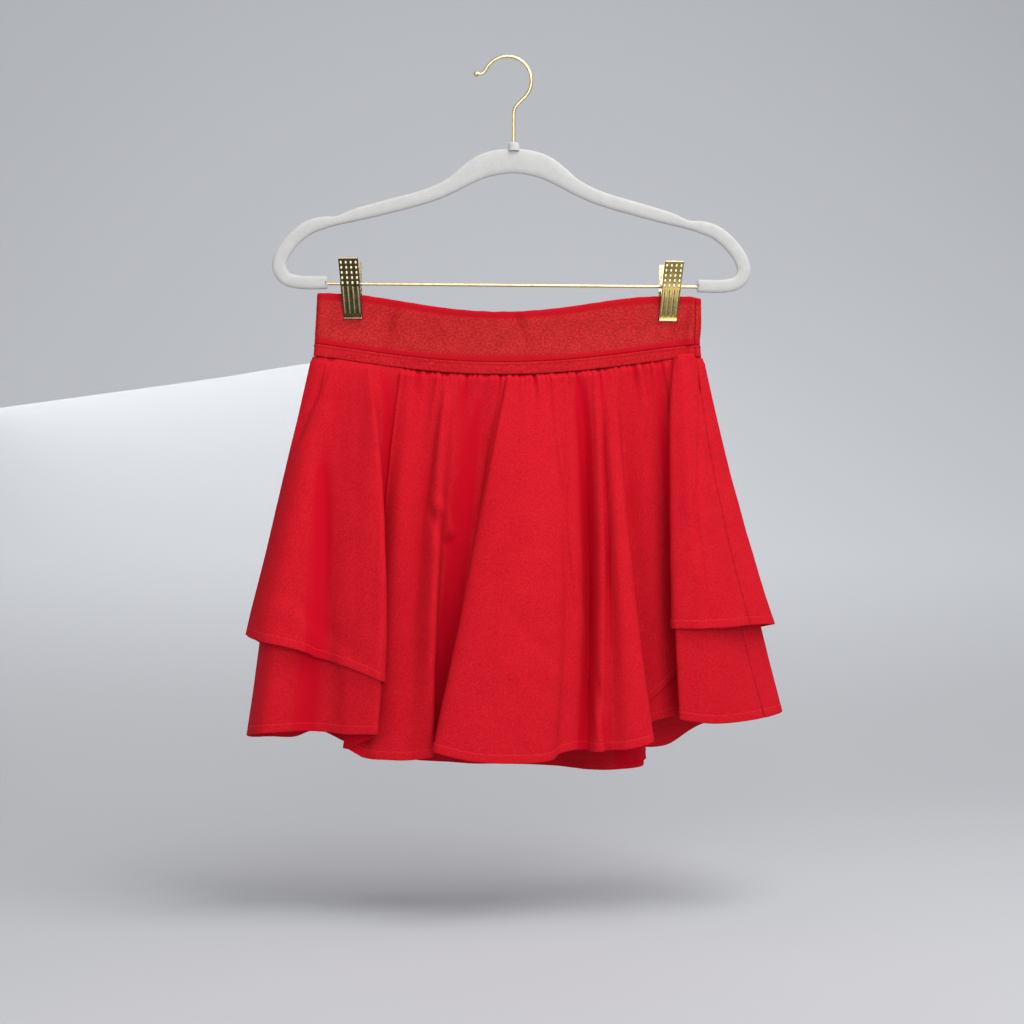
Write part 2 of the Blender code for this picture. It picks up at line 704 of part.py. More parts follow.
# ---------------------------------------------------------------- clips
def jaw_plate(side: float) -> bmesh.types.BMesh:
    """The bent plate of a jaw, in the clip's own frame with the bar at the origin."""
    plate = bmesh.new()
    loops = []
    last = len(JAW_PROFILE) - 1
    for index, point in enumerate(JAW_PROFILE):
        before = JAW_PROFILE[max(index - 1, 0)]
        after = JAW_PROFILE[min(index + 1, last)]
        down = Vector((after.out - before.out, after.z - before.z)).normalized()
        outward = Vector((-down.y, down.x)) * PLATE_THICKNESS / 2
        share = (JAW_PROFILE[0].z - point.z) / (JAW_PROFILE[0].z - JAW_PROFILE[-1].z)
        half = lerp(JAW_TOP_WIDTH, JAW_FOOT_WIDTH, share) / 2
        ring = []
        for x, sign in ((-half, 1), (half, 1), (half, -1), (-half, -1)):
            y = side * (point.out + sign * outward.x)
            ring.append(plate.verts.new((x, y, point.z + sign * outward.y)))
        loops.append(ring)
    for upper, lower in zip(loops, loops[1:]):
        for index in range(4):
            following = (index + 1) % 4
            plate.faces.new((upper[index], lower[index], lower[following], upper[following]))
    plate.faces.new(loops[0])
    plate.faces.new(loops[-1][::-1])
    bmesh.ops.recalc_face_normals(plate, faces=plate.faces)
    return plate


def jaw_ear(side: float, inner_x: float, hand: float) -> bmesh.types.BMesh:
    """An ear folded back from the plate round the bar, with the bar's hole left uncut."""
    ear = bmesh.new()
    outline = list(EAR_ROOT)
    for step in range(EAR_ARC_STEPS + 1):
        angle = math.radians(lerp(EAR_ARC_START, EAR_ARC_END, step / EAR_ARC_STEPS))
        outline.append((EAR_RADIUS * math.cos(angle), EAR_RADIUS * math.sin(angle)))
    near = [ear.verts.new((hand * inner_x, side * y, z)) for y, z in outline]
    face = ear.faces.new(near)
    thick = Vector((hand * EAR_THICKNESS, 0.0, 0.0))
    grown = bmesh.ops.extrude_face_region(ear, geom=[face])["geom"]
    moved = [item for item in grown if isinstance(item, bmesh.types.BMVert)]
    bmesh.ops.translate(ear, vec=thick, verts=moved)
    bmesh.ops.recalc_face_normals(ear, faces=ear.faces)
    return ear


def place_in_clip(mesh_data: bmesh.types.BMesh, clip: Clip) -> bmesh.types.BMesh:
    """Move a shape from the clip's own frame to its place on the bar."""
    tilted = Matrix.Rotation(math.radians(-clip.tilt), 4, "Y")
    place = Matrix.Translation((clip.x, 0.0, BAR_Z)) @ tilted
    bmesh.ops.transform(mesh_data, matrix=place, verts=mesh_data.verts)
    return mesh_data


def cross_cylinder(radius: float, half_length: float) -> bmesh.types.BMesh:
    """A cylinder across the clip, on the bar's axis."""
    rod = bmesh.new()
    bmesh.ops.create_cone(rod, cap_ends=True, segments=ROUND_SIDES, radius1=radius, radius2=radius,
                          depth=2 * half_length, matrix=ACROSS)
    return rod


def build_clip(clip: Clip) -> None:
    """Build a clip's two jaws and its spring."""
    for jaw, side, ear_x in (("front", -1.0, FRONT_EAR_X), ("back", 1.0, BACK_EAR_X)):
        name = "clip_{}_{}_jaw".format(clip.name, jaw)
        plate = add_object(name, place_in_clip(jaw_plate(side), clip), GOLD_METAL, smooth=False)
        for hand in (-1.0, 1.0):
            ear = place_in_clip(jaw_ear(side, ear_x, hand), clip)
            helper = add_cutter("{}_ear_{}".format(name, "left" if hand < 0 else "right"), ear)
            apply_boolean(plate, helper, "UNION")
        hole = place_in_clip(cross_cylinder(EAR_HOLE_RADIUS, JAW_TOP_WIDTH), clip)
        apply_boolean(plate, add_cutter(name + "_hole", hole), "DIFFERENCE")
    spring_name = "clip_{}_spring".format(clip.name)
    coil = place_in_clip(cross_cylinder(SPRING_RADIUS, SPRING_HALF_LENGTH), clip)
    spring = add_object(spring_name, coil, GOLD_METAL)
    bore = place_in_clip(cross_cylinder(SPRING_BORE_RADIUS, JAW_TOP_WIDTH), clip)
    apply_boolean(spring, add_cutter(spring_name + "_bore", bore), "DIFFERENCE")


def main() -> None:
    """Clear the scene and build every piece."""
    for piece in list(bpy.data.objects):
        bpy.data.objects.remove(piece, do_unlink=True)
    build_hanger_body()
    build_hook()
    build_bar()
    for clip in CLIPS:
        build_clip(clip)
    build_skirt()


main()
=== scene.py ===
"""Looks of an athletic skirt that hangs by two clips from a slim flocked hanger.

Every size is in millimetres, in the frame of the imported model: +X to the right along the bar, +Y
away from the viewer, +Z up, and the origin where a rail bears inside the top of the hook.  Meshes
are turned to metres as they are made.

The skirt's cloth follows one ring of fold lines.  Each fold line has a place at the waist seam,
half way down and at the hem, and the ring is a smooth curve through the fold lines at any height.
"""

from __future__ import annotations

import logging
import math
import random
from dataclasses import dataclass, field
from enum import Enum
from typing import Callable, NamedTuple

import bmesh
import bpy
from bmesh.types import BMEdge, BMesh, BMFace, BMVert
from bpy.types import Material, Node, NodeSocket, Object
from mathutils import Matrix, Vector, noise

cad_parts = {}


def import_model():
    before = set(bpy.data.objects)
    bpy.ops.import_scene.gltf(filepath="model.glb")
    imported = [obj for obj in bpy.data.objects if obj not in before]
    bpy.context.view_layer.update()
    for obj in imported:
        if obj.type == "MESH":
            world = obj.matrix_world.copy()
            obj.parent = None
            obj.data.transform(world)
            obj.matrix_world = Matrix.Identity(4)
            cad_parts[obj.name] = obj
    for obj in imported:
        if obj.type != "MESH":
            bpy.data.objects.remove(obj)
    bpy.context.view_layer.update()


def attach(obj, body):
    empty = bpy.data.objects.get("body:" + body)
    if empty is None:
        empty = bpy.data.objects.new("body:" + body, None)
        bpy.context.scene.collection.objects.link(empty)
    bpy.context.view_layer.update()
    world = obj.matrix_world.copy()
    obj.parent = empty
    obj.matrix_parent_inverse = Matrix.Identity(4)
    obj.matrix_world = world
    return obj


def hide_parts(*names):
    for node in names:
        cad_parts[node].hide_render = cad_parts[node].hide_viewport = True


LOG = logging.getLogger("skirt")
MM = 0.001
BODY = "root"
ACROSS = Matrix.Rotation(math.pi / 2, 4, "Y")
FLAT_MAP = "flat"
MARK = "mark"
BAR_Z = -211.0

# a bell curve is cut off at so many widths, and two knots of a spline count as at least so far apart
BELL_REACH = 4.0
LEAST_STEP = 0.01

# half the angle, in radians, that a wave texture turns through in one unit of its scale
WAVE_HALF_RATE = 10.0


class Slot(Enum):
    """Material slots of the record."""

    CLOTH = "red_cloth"
    ELASTIC = "red_elastic"
    FLOCK = "white_flock"
    METAL = "gold_metal"


class Side(Enum):
    """Side of the skirt, with the sign of its outward direction along Y."""

    FRONT = -1
    BACK = 1


class Skirt(Enum):
    """The two skirts that hang from the band."""

    BASE = "base"
    OVERLAY = "overlay"


# ---------------------------------------------------------------- small sums
def lerp(low: float, high: float, share: float) -> float:
    """Blend two values."""
    return low + (high - low) * share


def ease(value: float) -> float:
    """Smooth step from 0 to 1."""
    value = min(max(value, 0.0), 1.0)
    return value * value * (3.0 - 2.0 * value)


def ramp(value: float, low: float, high: float) -> float:
    """Smooth step from 0 at the low value to 1 at the high one."""
    return ease((value - low) / (high - low))


def bell(distance: float, width: float) -> float:
    """Bell curve: 1 at no distance, about a third at one width."""
    ratio = distance / width
    return math.exp(-ratio * ratio) if abs(ratio) < BELL_REACH else 0.0


def through(start: float, middle: float, end: float, share: float) -> float:
    """Read the parabola through three values.

    Args:
        start: its value at the start.
        middle: its value half way.
        end: its value at the end.
        share: share of the way.

    Returns:
        Its value there.
    """
    return (start * (1 - share) * (1 - 2 * share)
            + middle * 4 * share * (1 - share)
            + end * share * (2 * share - 1))


def spline_point(points: list[Vector], share: float) -> Vector:
    """Point on a centripetal spline.

    Args:
        points: the point before, the two ends of the stretch and the point after.
        share: share of the way along the stretch.

    Returns:
        The point.
    """
    before, start, end, after = points
    knots = [0.0]
    for first, second in zip(points, points[1:]):
        step = max(math.hypot(second.x - first.x, second.y - first.y), LEAST_STEP)
        knots.append(knots[-1] + math.sqrt(step))
    here = lerp(knots[1], knots[2], share)
    one = before.lerp(start, (here - knots[0]) / (knots[1] - knots[0]))
    two = start.lerp(end, (here - knots[1]) / (knots[2] - knots[1]))
    three = end.lerp(after, (here - knots[2]) / (knots[3] - knots[2]))
    left = one.lerp(two, (here - knots[0]) / (knots[2] - knots[0]))
    right = two.lerp(three, (here - knots[1]) / (knots[3] - knots[1]))
    return left.lerp(right, (here - knots[1]) / (knots[2] - knots[1]))


def neighbours(knots: list[Vector], index: int) -> list[Vector]:
    """The knots before a stretch, at its ends and after it, held at the line's ends."""
    return [knots[min(max(index + step, 0), len(knots) - 1)] for step in (-1, 0, 1, 2)]


def spline_path(knots: list[Vector], steps: Callable[[float], int]) -> list[Vector]:
    """Follow a spline through knots.

    Args:
        knots: the knots; X and Y set the spline's pace, and Z is blended with them.
        steps: gives the number of steps between two knots from their distance.

    Returns:
        The points, from the first knot to the last.
    """
    path = []
    for index in range(len(knots) - 1):
        count = steps((knots[index + 1] - knots[index]).length)
        path += [spline_point(neighbours(knots, index), step / count) for step in range(count)]
    return path + [knots[-1]]


def running_lengths(line: list[Vector]) -> list[float]:
    """Measure along a line.

    Args:
        line: its points.

    Returns:
        The distance along it at each point.
    """
    lengths = [0.0]
    for first, second in zip(line, line[1:]):
        lengths.append(lengths[-1] + (second - first).length)
    return lengths


def outward(bordered: list[Vector], index: int) -> Vector:
    """Level direction out of a loop at one of its points; the list has a point more at each end."""
    tangent = bordered[index + 2] - bordered[index]
    return Vector((tangent.y, -tangent.x, 0.0)).normalized()


class Ripple(NamedTuple):
    """Smooth random relief: its height, the size of its features and its seed."""

    height: float
    size: float
    seed: float

    def at(self, x: float, y: float = 0.0, z: float = 0.0) -> float:
        """Height at a place."""
        place = Vector((x / self.size + self.seed, y / self.size, z / self.size))
        return self.height * noise.noise(place)


class PressedLine(NamedTuple):
    """A line pressed into the cloth, or raised on it: its height, its place and its half width."""

    height: float
    place: float
    width: float

    def at(self, distance: float) -> float:
        """Height at a distance from where its place is measured."""
        return self.height * bell(distance - self.place, self.width)


# ---------------------------------------------------------------- meshes
def to_object(name: str, mesh_data: BMesh, material: Material,
              replaced: tuple[str, ...] = (), sharp: float = 180.0) -> Object:
    """Turn a bmesh in millimetres into a piece that rides on the body.

    Args:
        name: name of the piece.
        mesh_data: the shape, which is freed.
        material: its finish.
        replaced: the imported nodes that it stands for.
        sharp: angle in degrees past which an edge is shaded sharp.

    Returns:
        The object, at the origin.
    """
    bmesh.ops.scale(mesh_data, vec=(MM, MM, MM), verts=mesh_data.verts)
    mesh = bpy.data.meshes.new(name)
    mesh_data.to_mesh(mesh)
    mesh_data.free()
    mesh.shade_smooth()
    mesh.set_sharp_from_angle(angle=math.radians(sharp))
    mesh.materials.append(material)
    piece = bpy.data.objects.new(name, mesh)
    bpy.context.scene.collection.objects.link(piece)
    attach(piece, BODY)
    if replaced:
        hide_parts(*replaced)
    return piece


def thicken(piece: Object, wall: float) -> None:
    """Give a sheet a wall that grows inwards from its outer face.

    Args:
        piece: the sheet's object.
        wall: the wall's thickness.
    """
    modifier = piece.modifiers.new("wall", "SOLIDIFY")
    modifier.thickness = wall * MM
    modifier.offset = -1.0
    modifier.use_even_offset = False
    modifier.use_rim = True


class Placed(NamedTuple):
    """A grid point: its place, its place on the flat cloth, and its mark, from 0 to 1."""

    point: Vector
    flat: tuple[float, float]
    mark: float


def shaped_grid(columns: int, rows: int, place: Callable[[int, int], Placed]) -> BMesh:
    """Make a grid and move each of its points.

    Args:
        columns: number of cells along the grid.
        rows: number of cells from the bottom up.
        place: gives the point of a column and of a row counted from the top.

    Returns:
        The sheet, with its flat places in a UV map in metres and its marks in an attribute.
    """
    sheet = bmesh.new()
    bmesh.ops.create_grid(sheet, x_segments=columns, y_segments=rows, size=0.5)
    flat_map = sheet.loops.layers.uv.new(FLAT_MAP)
    mark_layer = sheet.verts.layers.float.new(MARK)
    flats = {}
    for vert in sheet.verts:
        column = round((vert.co.x + 0.5) * columns)
        row = rows - round((vert.co.y + 0.5) * rows)
        placed = place(column, row)
        vert.co = placed.point
        vert[mark_layer] = placed.mark
        flats[vert] = Vector(placed.flat) * MM
    for face in sheet.faces:
        for loop in face.loops:
            loop[flat_map].uv = flats[loop.vert]
    return sheet


def tube(rings: list[list[Vector]]) -> BMesh:
    """Join closed rings into one closed body.

    Args:
        rings: the points of each ring, in order along the body.

    Returns:
        The body.
    """
    body = bmesh.new()
    loop = bmesh.ops.create_circle(body, segments=len(rings[0]), radius=1.0)["verts"]
    first_loop = loop
    edges = list(body.edges)
    for index, ring in enumerate(rings):
        if index > 0:
            grown = bmesh.ops.extrude_edge_only(body, edges=edges)["geom"]
            fresh = {item for item in grown if isinstance(item, BMVert)}
            edges = [item for item in grown if isinstance(item, BMEdge)
                     and all(vert in fresh for vert in item.verts)]
            loop = [next(edge.other_vert(vert) for edge in vert.link_edges
                         if edge.other_vert(vert) in fresh) for vert in loop]
        for vert, point in zip(loop, ring):
            vert.co = point
    body.faces.new(first_loop)
    body.faces.new(loop)
    bmesh.ops.recalc_face_normals(body, faces=body.faces)
    return body


def swept(path: list[Vector], rings: list[list[tuple[float, float]]]) -> BMesh:
    """Sweep closed rings along a path in the XZ plane.

    Args:
        path: the path's points.
        rings: for each point, the ring's (across, deep) offsets.

    Returns:
        The closed body.
    """
    last = len(path) - 1
    placed = []
    for index, (point, ring) in enumerate(zip(path, rings)):
        forward = (path[min(index + 1, last)] - path[max(index - 1, 0)]).normalized()
        side = Vector((-forward.z, 0.0, forward.x))
        placed.append([point + side * across + Vector((0.0, deep, 0.0)) for across, deep in ring])
    return tube(placed)


def round_ring(radius: float, sides: int) -> list[tuple[float, float]]:
    """A circle's points, as offsets."""
    angles = [2 * math.pi * index / sides for index in range(sides)]
    return [(radius * math.cos(angle), radius * math.sin(angle)) for angle in angles]


# ---------------------------------------------------------------- shader sums
@dataclass
class Signal:
    """A shader value that arithmetic is written on; each sign adds a Math node."""

    tree: "Tree"
    socket: NodeSocket

    def __add__(self, other: "Signal | float") -> "Signal":
        """Sum."""
        return self.tree.math("ADD", self, other)

    def __radd__(self, other: float) -> "Signal":
        """Sum, with a number first."""
        return self.tree.math("ADD", other, self)

    def __mul__(self, other: "Signal | float") -> "Signal":
        """Product."""
        return self.tree.math("MULTIPLY", self, other)

    def __rmul__(self, other: float) -> "Signal":
        """Product, with a number first."""
        return self.tree.math("MULTIPLY", other, self)

    def toward(self, other: "Signal", share: float) -> "Signal":
        """Blend with another signal, by the other's share."""
        return self * (1.0 - share) + other * share


class Tree:
    """The node tree of one material."""

    def __init__(self, name: str) -> None:
        """Start a material with only an output node.

        Args:
            name: the material's name.
        """
        self.material = bpy.data.materials.new(name)
        self.material.use_nodes = True
        self.nodes = self.material.node_tree.nodes
        self.links = self.material.node_tree.links
        self.nodes.clear()
        self.output = self.nodes.new("ShaderNodeOutputMaterial")

    def node(self, kind: str, settings: dict[str, object], inputs: dict[object, object]) -> Node:
        """Make a node.

        Args:
            kind: the node's type.
            settings: its properties, set first.
            inputs: values or links of its sockets, by name or number.

        Returns:
            The node.
        """
        made = self.nodes.new(kind)
        for name, value in settings.items():
            setattr(made, name, value)
        for name, value in inputs.items():
            if isinstance(value, Signal):
                value = value.socket
            if isinstance(value, NodeSocket):
                self.links.new(value, made.inputs[name])
            else:
                made.inputs[name].default_value = value
        return made

    def signal(self, kind: str, settings: dict[str, object], inputs: dict[object, object],
               output: int | str = 0) -> Signal:
        """A new node's output, as a value for arithmetic."""
        return Signal(self, self.node(kind, settings, inputs).outputs[output])

    def math(self, operation: str, *values: object) -> Signal:
        """A Math node on signals and numbers."""
        return self.signal("ShaderNodeMath", {"operation": operation}, dict(enumerate(values)))

    def object_place(self) -> NodeSocket:
        """Place on the piece, in metres."""
        return self.node("ShaderNodeTexCoord", {}, {}).outputs["Object"]

    def flat_place(self) -> NodeSocket:
        """Place on the flat cloth, in metres."""
        return self.node("ShaderNodeUVMap", {"uv_map": FLAT_MAP}, {}).outputs["UV"]

    def mark(self) -> Signal:
        """The piece's own mark, from 0 to 1."""
        return self.signal("ShaderNodeAttribute", {"attribute_name": MARK}, {}, "Fac")

    def stretched(self, place: NodeSocket, scale: tuple[float, float, float]) -> NodeSocket:
        """A place scaled along its axes."""
        return self.node("ShaderNodeMapping", {}, {"Vector": place, "Scale": scale}).outputs["Vector"]

    def grain(self, place: NodeSocket, size: float, detail: float = 2.0) -> Signal:
        """Noise with features of a size in millimetres, about 0.5 on average."""
        inputs = {"Vector": place, "Scale": 1.0 / (size * MM), "Detail": detail}
        return self.signal("ShaderNodeTexNoise", {"noise_dimensions": "3D"}, inputs)

    def waves(self, place: NodeSocket, direction: str, pitch: float) -> Signal:
        """Make even ridges from 0 to 1.

        Args:
            place: the place that they are laid on.
            direction: the axis across them.
            pitch: their pitch in millimetres.

        Returns:
            Their height.
        """
        settings = {"wave_type": "BANDS", "bands_direction": direction}
        scale = math.pi / (WAVE_HALF_RATE * pitch * MM)
        inputs = {"Vector": place, "Scale": scale, "Distortion": 0.0}
        return self.signal("ShaderNodeTexWave", settings, inputs, "Fac")

    def between(self, value: Signal, low: float, high: float) -> Signal:
        """0 under low, 1 over high and smooth between."""
        inputs = {"Value": value, "From Min": low, "From Max": high}
        return self.signal("ShaderNodeMapRange", {"interpolation_type": "SMOOTHSTEP"}, inputs)

    def mix(self, factor: Signal, low: object, high: object) -> NodeSocket:
        """Blend two colours."""
        inputs = {0: factor, 6: low, 7: high}
        return self.node("ShaderNodeMix", {"data_type": "RGBA"}, inputs).outputs[2]

    def bump(self, height: Signal, depth: float, strength: float) -> NodeSocket:
        """A normal bumped by a height; depth is in millimetres."""
        inputs = {"Height": height, "Distance": depth * MM, "Strength": strength}
        return self.node("ShaderNodeBump", {}, inputs).outputs["Normal"]

    def finish(self, inputs: dict[str, object]) -> Material:
        """Close the tree with a Principled shader.

        Args:
            inputs: values or links of the shader's sockets.

        Returns:
            The material.
        """
        shader = self.node("ShaderNodeBsdfPrincipled", {}, inputs)
        self.links.new(shader.outputs[0], self.output.inputs[0])
        return self.material


Colour = tuple[float, float, float, float]


@dataclass(frozen=True)
class KnitFinish:
    """Matt stretch knit: the mark paints light, grain with a painted sheen tint on crests and plain red as
    painted shade in hollows.
    """

    name: str
    # painted light, chosen by the mark: fold is a brighter red painted deep between large folds for bounced
    # light, hollow is plain red painted as shade, and the grain from deep to lit carries a painted sheen
    # tint
    fold: Colour
    hollow: Colour
    deep: Colour
    lit: Colour
    sheen: float = 0.015
    wale: float = 0.9
    course: float = 0.7

    def material(self) -> Material:
        """Make the material.

        Returns:
            The material.
        """
        tree = Tree(self.name)
        place = tree.object_place()
        flat = tree.flat_place()
        speckle = tree.grain(place, size=1.1, detail=3.0)
        drift = tree.grain(place, size=26.0)
        shade = tree.between(speckle.toward(drift, 0.13), low=0.34, high=0.66)
        knit = tree.waves(flat, "X", self.wale) * tree.waves(flat, "Y", self.course)
        height = knit.toward(speckle, 0.4)
        # the open cloth's grain with its painted sheen tint; hollows get plain red as painted shade, deep
        # folds a brighter painted red
        grain_and_painted_sheen = tree.mix(shade, self.deep, self.lit)
        painted_recess_colour = tree.mix(tree.between(tree.mark(), low=0.0, high=0.5), self.fold, self.hollow)
        return tree.finish({
            "Base Color": tree.mix(tree.between(tree.mark(), low=0.5, high=1.0), painted_recess_colour, grain_and_painted_sheen),
            "Roughness": 0.86,
            "Specular IOR Level": 0.09,
            "Sheen Weight": self.sheen,
            "Sheen Roughness": 0.45,
            "Sheen Tint": (1.0, 0.35, 0.3, 1.0),
            "Normal": tree.bump(height, depth=0.14, strength=0.45),
        })


@dataclass(frozen=True)
class ElasticFinish:
    """Satin heather elastic whose marked edges are plain and darker."""

    name: str
    satin_low: Colour
    satin_high: Colour
    edge: Colour
    roughness: float = 0.5
    edge_rougher: float = 0.3
    rib: float = 1.15

    def material(self) -> Material:
        """Make the material.

        Returns:
            The material.
        """
        tree = Tree(self.name)
        flat = tree.flat_place()
        heather = tree.grain(tree.stretched(flat, scale=(0.7, 1.0, 1.0)), size=1.5, detail=4.0)
        cloud = tree.grain(flat, size=11.0)
        mark = tree.mark()
        shade = tree.between(heather.toward(cloud, 0.2), low=0.39, high=0.62)
        satin = tree.mix(shade, self.satin_low, self.satin_high)
        height = heather.toward(tree.waves(flat, "Y", self.rib), 0.5)
        return tree.finish({
            "Base Color": tree.mix(mark, satin, self.edge),
            "Roughness": mark * self.edge_rougher + self.roughness,
            "Specular IOR Level": 0.12,
            "Sheen Weight": 0.02,
            "Sheen Roughness": 0.35,
            "Sheen Tint": (1.0, 0.5, 0.45, 1.0),
            "Normal": tree.bump(height, depth=0.09, strength=0.4),
        })


@dataclass(frozen=True)
class FlockFinish:
    """Short off-white flock."""

    name: str
    low: Colour
    high: Colour

    def material(self) -> Material:
        """Make the material.

        Returns:
            The material.
        """
        tree = Tree(self.name)
        place = tree.object_place()
        fuzz = tree.grain(place, size=0.7, detail=4.0)
        patches = tree.grain(place, size=7.0)
        shade = tree.between(fuzz.toward(patches, 0.3), low=0.3, high=0.7)
        return tree.finish({
            "Base Color": tree.mix(shade, self.low, self.high),
            "Roughness": 0.95,
            "Specular IOR Level": 0.15,
            "Sheen Weight": 0.25,
            "Sheen Roughness": 0.4,
            "Normal": tree.bump(fuzz, depth=0.25, strength=0.6),
        })


@dataclass(frozen=True)
class MetalFinish:
    """Polished pale gold plating; the mark gives a pale painted highlight on rougher metal."""

    name: str
    plate: Colour
    tarnish: Colour
    # pale colour of the painted highlights where the mark is set
    painted_glint: Colour
    roughness: float = 0.22
    stain_rougher: float = 0.1
    mark_rougher: float = 0.25

    def material(self) -> Material:
        """Make the material.

        Returns:
            The material.
        """
        tree = Tree(self.name)
        place = tree.object_place()
        stain = tree.between(tree.grain(place, size=5.0, detail=3.0), low=0.4, high=0.7)
        fine = tree.grain(place, size=0.5)
        mark = tree.mark()
        worn = tree.mix(stain * 0.5, self.plate, self.tarnish)
        return tree.finish({
            "Base Color": tree.mix(mark, worn, self.painted_glint),
            "Metallic": 1.0,
            "Roughness": stain * self.stain_rougher + mark * self.mark_rougher + self.roughness,
            "Normal": tree.bump(fine, depth=0.01, strength=0.05),
        })


@dataclass(frozen=True)
class ThreadFinish:
    """Sewing thread."""

    name: str
    colour: Colour
    paler: float = 1.25

    def material(self) -> Material:
        """Make the material.

        Returns:
            The material.
        """
        tree = Tree(self.name)
        twist = tree.grain(tree.object_place(), size=0.3, detail=1.0)
        pale = tuple(min(part * self.paler, 1.0) for part in self.colour)
        return tree.finish({
            "Base Color": tree.mix(twist, self.colour, pale),
            "Roughness": 0.55,
            "Specular IOR Level": 0.4,
        })


@dataclass(frozen=True)
class PaintFinish:
    """Plain matt paint with painted shade: the floor is darker than the wall, and its colour turns softly to
    the wall's low on the bend.
    """

    name: str
    floor: Colour
    wall: Colour
    turn_low: float = -0.79
    turn_high: float = -0.48

    def material(self) -> Material:
        """Make the material.

        Returns:
            The material.
        """
        tree = Tree(self.name)
        apart = tree.node("ShaderNodeSeparateXYZ", {}, {"Vector": tree.object_place()})
        rise = tree.between(Signal(tree, apart.outputs["Z"]), self.turn_low, self.turn_high)
        return tree.finish({
            "Base Color": tree.mix(rise, self.floor, self.wall),
            "Roughness": 0.9,
            "Specular IOR Level": 0.1,
        })


# ---------------------------------------------------------------- waist
class Dent(NamedTuple):
    """A soft dent or swelling of the band: its place, its half width and height, and its depth."""

    name: str
    x: float
    z: float
    width: float
    height: float
    depth: float
    lean: float

    def at(self, x: float, z: float) -> float:
        """Height of the dent at a place on the band."""
        across = x - self.x - self.lean * (z - self.z)
        return self.depth * bell(across, self.width) * bell(z - self.z, self.height)


BAND_DENTS = (
    Dent("by_left_clip", -111, -250, 6, 22, -2.3, 0.25),
    Dent("by_left_clip_swell", -98, -250, 9, 24, 1.3, 0.25),
    Dent("middle_fold", 9, -248, 4.5, 14, -2.0, -0.2),
    Dent("middle_swell", 22, -254, 8, 20, 1.2, -0.2),
    Dent("left_of_middle", -38, -246, 8, 14, -0.7, 0.1),
    Dent("right_wave", 72, -250, 10, 22, -0.8, -0.1),
    Dent("by_right_clip", 122, -244, 7, 20, -1.0, -0.2),
    Dent("under_right_clip", 158, -262, 6, 16, -1.6, 0.1),
    Dent("right_end_swell", 170, -258, 3.2, 24, 1.5, 0.05),
)


@dataclass(frozen=True)
class Waist:
    """The flattened waist: heights of the band's edges, and half its thickness across."""

    left: float = -178.0
    right: float = 181.0
    join_x: float = 175.5
    end_radius: float = 3.4
    pinch: float = 1.1
    foot_pinch: float = 2.6
    pinch_from: float = 0.45
    bulge: float = 8.6
    foot_bulge: float = 8.2
    clip_flat: float = 10.5
    clips: tuple[float, float] = (-144.6, 152.1)
    back_rise: float = 2.0
    sag_centre: float = -8.0
    top_z: float = -220.2
    top_sag: float = 16.4
    top_reach: float = 150.0
    top_power: float = 2.0
    seam_foot_z: float = -277.0
    seam_sag: float = 17.6
    seam_reach: float = 185.0
    seam_power: float = 1.5
    corner_x: float = 170.0
    corner_drop: float = 1.8

    def sag(self, x: float, depth: float, reach: float, power: float) -> float:
        """How far an edge of the band hangs below its ends at a place across."""
        share = min(abs((x - self.sag_centre) / reach), 1.0)
        return depth * (1.0 - share * share) ** power

    def band_top(self, x: float, side: Side) -> float:
        """Work out the height of the band's top edge.

        Args:
            x: place across.
            side: side of the skirt.

        Returns:
            The height.
        """
        rise = self.back_rise * ramp(abs(x), self.top_reach, 0.0) if side is Side.BACK else 0.0
        rise -= self.corner_drop * ramp(x, self.corner_x, self.right)
        return self.top_z + rise - self.sag(x, self.top_sag, self.top_reach, self.top_power)

    def seam(self, x: float) -> float:
        """Height of the seam where the skirts hang from the band."""
        return self.seam_foot_z - self.sag(x, self.seam_sag, self.seam_reach, self.seam_power)

    def half_depth(self, x: float, share: float) -> float:
        """Work out half the thickness of the flattened waist.

        Args:
            x: place across.
            share: share of the way down the band.

        Returns:
            Half the thickness: thin at the clips, open between them and round at the ends.
        """
        left, right = self.clips
        pinch = lerp(self.pinch, self.foot_pinch, ramp(share, self.pinch_from, 1.0))
        if min(abs(x - left), abs(x - right)) <= self.clip_flat:
            return pinch
        if left < x < right:
            bulge = lerp(self.bulge, self.foot_bulge, share)
            across = (x - left - self.clip_flat) / (right - left - 2 * self.clip_flat)
            return pinch + bulge * math.sin(math.pi * across) ** 2
        end, clip = (self.left, left) if x < left else (self.right, right)
        to_end = abs(end - x)
        if to_end < self.end_radius:
            return math.sqrt(max(self.end_radius ** 2 - (self.end_radius - to_end) ** 2, 0.0))
        along = (abs(x - clip) - self.clip_flat) / (abs(end - clip) - self.clip_flat - self.end_radius)
        return lerp(pinch, self.end_radius, ease(along))


# ---------------------------------------------------------------- folds
class Fold(NamedTuple):
    """A fold line of the skirt.

    x is its place across at the waist seam, half way down and at the hem; y is its depth half way
    down and at the hem; hem_z is the base hem's height; cover is the share of the way down where
    the overskirt ends; flare is how far the overskirt stands out at three quarters of the way.
    """

    name: str
    x_waist: float
    x_mid: float
    x_hem: float
    y_mid: float
    y_hem: float
    hem_z: float
    cover: float
    flare: float


